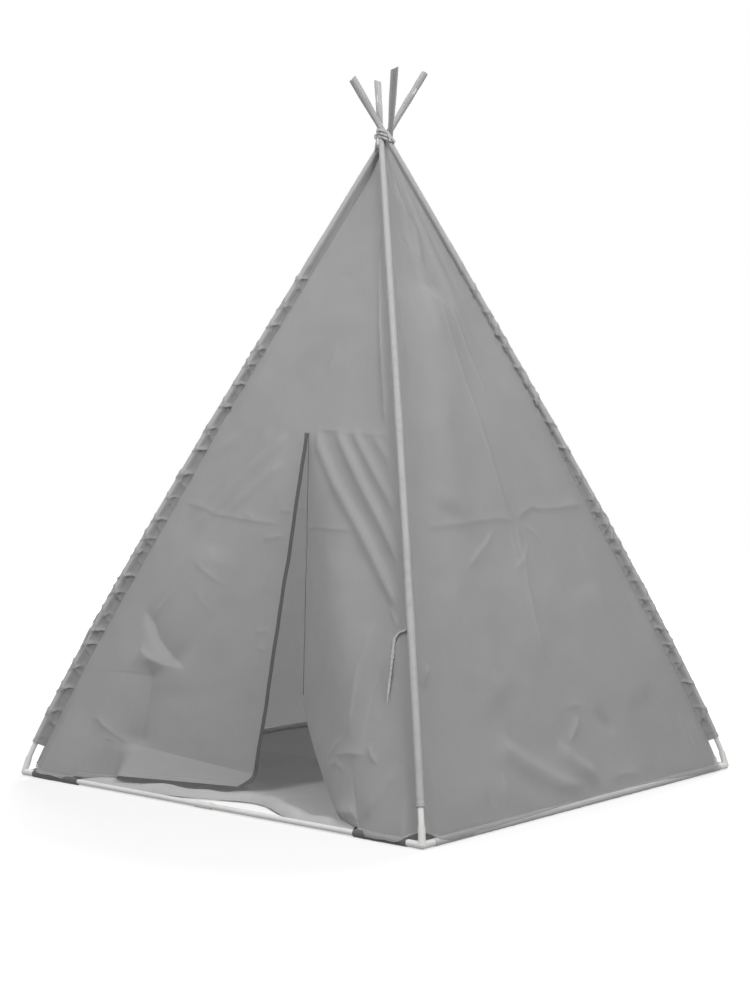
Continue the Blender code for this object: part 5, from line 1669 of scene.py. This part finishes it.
class TEEPEE_OT_floor(bpy.types.Operator):
    """Makes the ground sheet, the channels round the base tubes and the slack front hem."""

    bl_idname = "teepee.floor"
    bl_label = "Ground sheet"

    def execute(self, context):
        sizes = context.scene.teepee_sizes
        colours = context.scene.teepee_colours
        ground_cloth = woven_polyester("polyester_ground_woven", colours.floor, 0.0013, see_through=0.0)
        # Painted shade: the channels on the door side are drawn in the dark tape colour, standing in for the
        # shadow they lie in.
        dark = woven_polyester("polyester_under_binding_woven", colours.tape, 0.0012, see_through=0.0)
        light = woven_polyester("polyester_channel_woven", colours.channel, 0.0012, see_through=0.0)
        points = ground_points(150)
        mesh = mesh_of_sheet("ground_sheet", points, sizes.cloth_thickness, points[:, :, :2])
        ground = place_object("ground_sheet", mesh, ground_cloth, "tent", ("floor_sheet",))
        points = front_hem_points()
        mesh = mesh_of_sheet("ground_front_hem", points, 2 * sizes.cloth_thickness, points[:, :, :2])
        hem = place_object("ground_front_hem", mesh, ground_cloth, "tent", ("floor_sheet",))
        end = HALF_SIDE - ARM_LENGTH - CLEARANCE
        runs = [(face, -end, end, light) for face in (1, 2, 3)]
        # The two door side channels get the painted shade material.
        runs += [(0, -end, -DOOR_CHANNEL_END, dark), (0, DOOR_CHANNEL_END + RIGHT_CHANNEL_LATE, end, dark)]
        for number, (face, start, stop, cloth) in enumerate(runs):
            self.channel(number, face, start, stop, cloth)
        return {"FINISHED"}

    def channel(self, number, face, start, stop, cloth):
        """One sewn channel: a slack tube of cloth round a base tube."""
        count = max(8, round((stop - start) / 0.005))
        angles = np.linspace(0.0, math.tau, 24, endpoint=False)
        outer = []
        inner = []
        for k in range(count + 1):
            run = start + (stop - start) * k / count
            fade = ease(min(run - start, stop - run) / 0.03)
            radius = SLEEVE_RADIUS + CHANNEL_BUNCH * channel_bunch(run, number, angles) * fade
            for stack, size in ((outer, radius), (inner, radius - CHANNEL_THICKNESS)):
                across = -HALF_SIDE + size * np.sin(angles)
                up = RAIL_HEIGHT + size * np.cos(angles)
                stack.append(np.stack((np.full_like(angles, run), across, up), axis=1))
        name = f"{FACE_NAMES[face]}_channel_{number}"
        mesh = mesh_of_tube(name, outer, inner)
        mesh.transform(quarter_turn(face))
        piece = place_object(name, mesh, cloth, "tent", ("floor_sheet",))


# Top tie


def hull_radius(angle, height):
    """Distance from the middle axis to a band round the four sleeves, at a height above their crossing."""
    rise = (pole_point(pole_length() + TIE_WIDTH) - pole_point(pole_length())).normalized().z
    pole = pole_point(pole_length() + height / rise)
    spread = math.hypot(pole.x, pole.y)
    around = SNUG_SLEEVE_RADIUS / rise + TIE_STANDOFF + TIE_THICKNESS / 2
    quarter = math.tau / 4
    off = (angle - math.atan2(pole.y, pole.x) + quarter / 2) % quarter - quarter / 2
    from_flat = quarter / 2 - abs(off)
    flat = spread * math.cos(quarter / 2) + around
    if flat * math.tan(from_flat) < spread * math.sin(quarter / 2):
        return flat / math.cos(from_flat)
    return spread * math.cos(off) + math.sqrt(around**2 - (spread * math.sin(off)) ** 2)


def around_axis(angle, height, lift=0.0):
    """Point beside the crossing, at an angle and height; lift moves it out from the sleeves."""
    radius = max(hull_radius(angle, height + TIE_WIDTH / 2 * side) for side in (-1, 0, 1)) + lift
    level = RAIL_HEIGHT + CROSSING_HEIGHT + height
    return Vector((radius * math.cos(angle), radius * math.sin(angle), level))


def long_tail(first):
    """The tail that hangs from the knot, twisting as it falls."""
    aside = Vector((first.x, first.y, 0.0)).normalized()
    points = []
    for i in range(14, 0, -1):
        share = i / 14
        curl = TAIL_CURL * math.sin(math.tau * 0.8 * share)
        sideways = Vector((-aside.y, aside.x, 0.0)) * curl
        points.append(first + aside * TAIL_ASIDE * share + sideways + Vector((0.0, 0.0, -TAIL_FALL * share)))
    return points


def short_tail(lean, length):
    """From the end of the winding: round a bend and down over the turns, leaning along the winding."""
    angle = math.radians(TIE_START) + math.tau * TIE_TURNS
    height = TIE_SLANT * math.cos(math.tau * TIE_TURNS) + TIE_PITCH * TIE_TURNS / 2
    radius = around_axis(angle, height).to_2d().length
    steep = math.radians(90 - lean)
    points = []
    for i in range(1, 7):
        turn = steep * i / 6
        drop = END_BEND * (1.0 - math.cos(turn))
        near = angle + END_BEND * math.sin(turn) / radius
        points.append(around_axis(near, height - drop, END_LIFT * i / 6))
    for i in range(1, 9):
        run = length * i / 8
        far = angle + (END_BEND * math.sin(steep) + run * math.cos(steep)) / radius
        fall = drop + run * math.sin(steep)
        points.append(around_axis(far, height - fall, END_LIFT + TIE_THICKNESS * i / 8))
    return points


def wound_band():
    """The band's turns round the four sleeves, slanting over them and climbing a little."""
    steps = 40
    made = []
    for i in range(round(TIE_TURNS * steps) + 1):
        turn = i / steps
        height = TIE_SLANT * math.cos(math.tau * turn) + TIE_PITCH * (turn - TIE_TURNS / 2)
        made.append(around_axis(math.radians(TIE_START) + math.tau * turn, height))
    return made


def knot_mesh():
    """The knot beside the winding, a small lump with folds."""
    place = around_axis(math.radians(TIE_START), TIE_SLANT - TIE_PITCH * TIE_TURNS / 2, KNOT_LIFT)
    shape = bmesh.new()
    bmesh.ops.create_uvsphere(shape, u_segments=32, v_segments=20, radius=KNOT_RADIUS)
    for vertex in shape.verts:
        fold = noise.noise(vertex.co * 420.0)
        vertex.co = vertex.co * (1.0 + 0.28 * fold)
        vertex.co.z *= KNOT_STRETCH
    bmesh.ops.translate(shape, vec=place, verts=shape.verts)
    mesh = bpy.data.meshes.new("top_tie_knot")
    shape.to_mesh(mesh)
    shape.free()
    return mesh


class TEEPEE_OT_tie(bpy.types.Operator):
    """Makes the band that is wound round the crossing poles, its knot and its tails."""

    bl_idname = "teepee.tie"
    bl_label = "Top tie"

    def execute(self, context):
        cloth = bpy.data.materials["polyester_ribbon_woven"]
        turns = wound_band()
        twisted = 12
        bands = {
            "top_tie_band": long_tail(turns[0]) + turns + short_tail(30, 0.024),
            "top_tie_prong": short_tail(4, 0.017),
        }
        for name, points in bands.items():
            facings = [Vector((-point.x, -point.y, 0.0)) for point in points]
            outlines = [band_outline(TIE_WIDTH, TIE_THICKNESS, 0.0006)] * len(points)
            if name == "top_tie_band":
                for i in range(twisted):
                    facings[i] = Matrix.Rotation((twisted - i) / twisted * 2.6, 3, "Z") @ facings[i]
            mesh = mesh_of_rings(name, band_rings(points, facings, outlines))
            place_object(name, mesh, cloth, "tent", ("top_tie",))
        place_object("top_tie_knot", knot_mesh(), cloth, "tent", ("top_tie",))
        return {"FINISHED"}


class TEEPEE_PT_panel(bpy.types.Panel):
    """Lists the steps that dress the teepee."""

    bl_idname = "TEEPEE_PT_panel"
    bl_label = "Teepee"
    bl_space_type = "VIEW_3D"
    bl_region_type = "UI"
    bl_category = "Teepee"

    def draw(self, context):
        for group in (context.scene.teepee_sizes, context.scene.teepee_colours):
            for name in group.bl_rna.properties.keys():
                if name not in ("rna_type", "name"):
                    self.layout.prop(group, name)
        for step in STEPS:
            self.layout.operator(step.bl_idname)


STEPS = (
    TEEPEE_OT_stage,
    TEEPEE_OT_ribbons,
    TEEPEE_OT_frame,
    TEEPEE_OT_sleeves,
    TEEPEE_OT_walls,
    TEEPEE_OT_door,
    TEEPEE_OT_floor,
    TEEPEE_OT_tie,
)
CLASSES = (TeepeeSizes, TeepeeColours, *STEPS, TEEPEE_PT_panel)


def register():
    """Adds the teepee's values and steps to Blender."""
    for item in CLASSES:
        bpy.utils.register_class(item)
    bpy.types.Scene.teepee_sizes = PointerProperty(type=TeepeeSizes)
    bpy.types.Scene.teepee_colours = PointerProperty(type=TeepeeColours)


def unregister():
    """Takes the teepee's values and steps out of Blender."""
    del bpy.types.Scene.teepee_colours
    del bpy.types.Scene.teepee_sizes
    for item in reversed(CLASSES):
        bpy.utils.unregister_class(item)


def main():
    """Dresses the teepee."""
    register()
    bpy.ops.teepee.stage()
    bpy.ops.teepee.ribbons()
    bpy.ops.teepee.frame()
    bpy.ops.teepee.sleeves()
    bpy.ops.teepee.walls()
    bpy.ops.teepee.door()
    bpy.ops.teepee.floor()
    bpy.ops.teepee.tie()


if __name__ == "__main__":
    main()
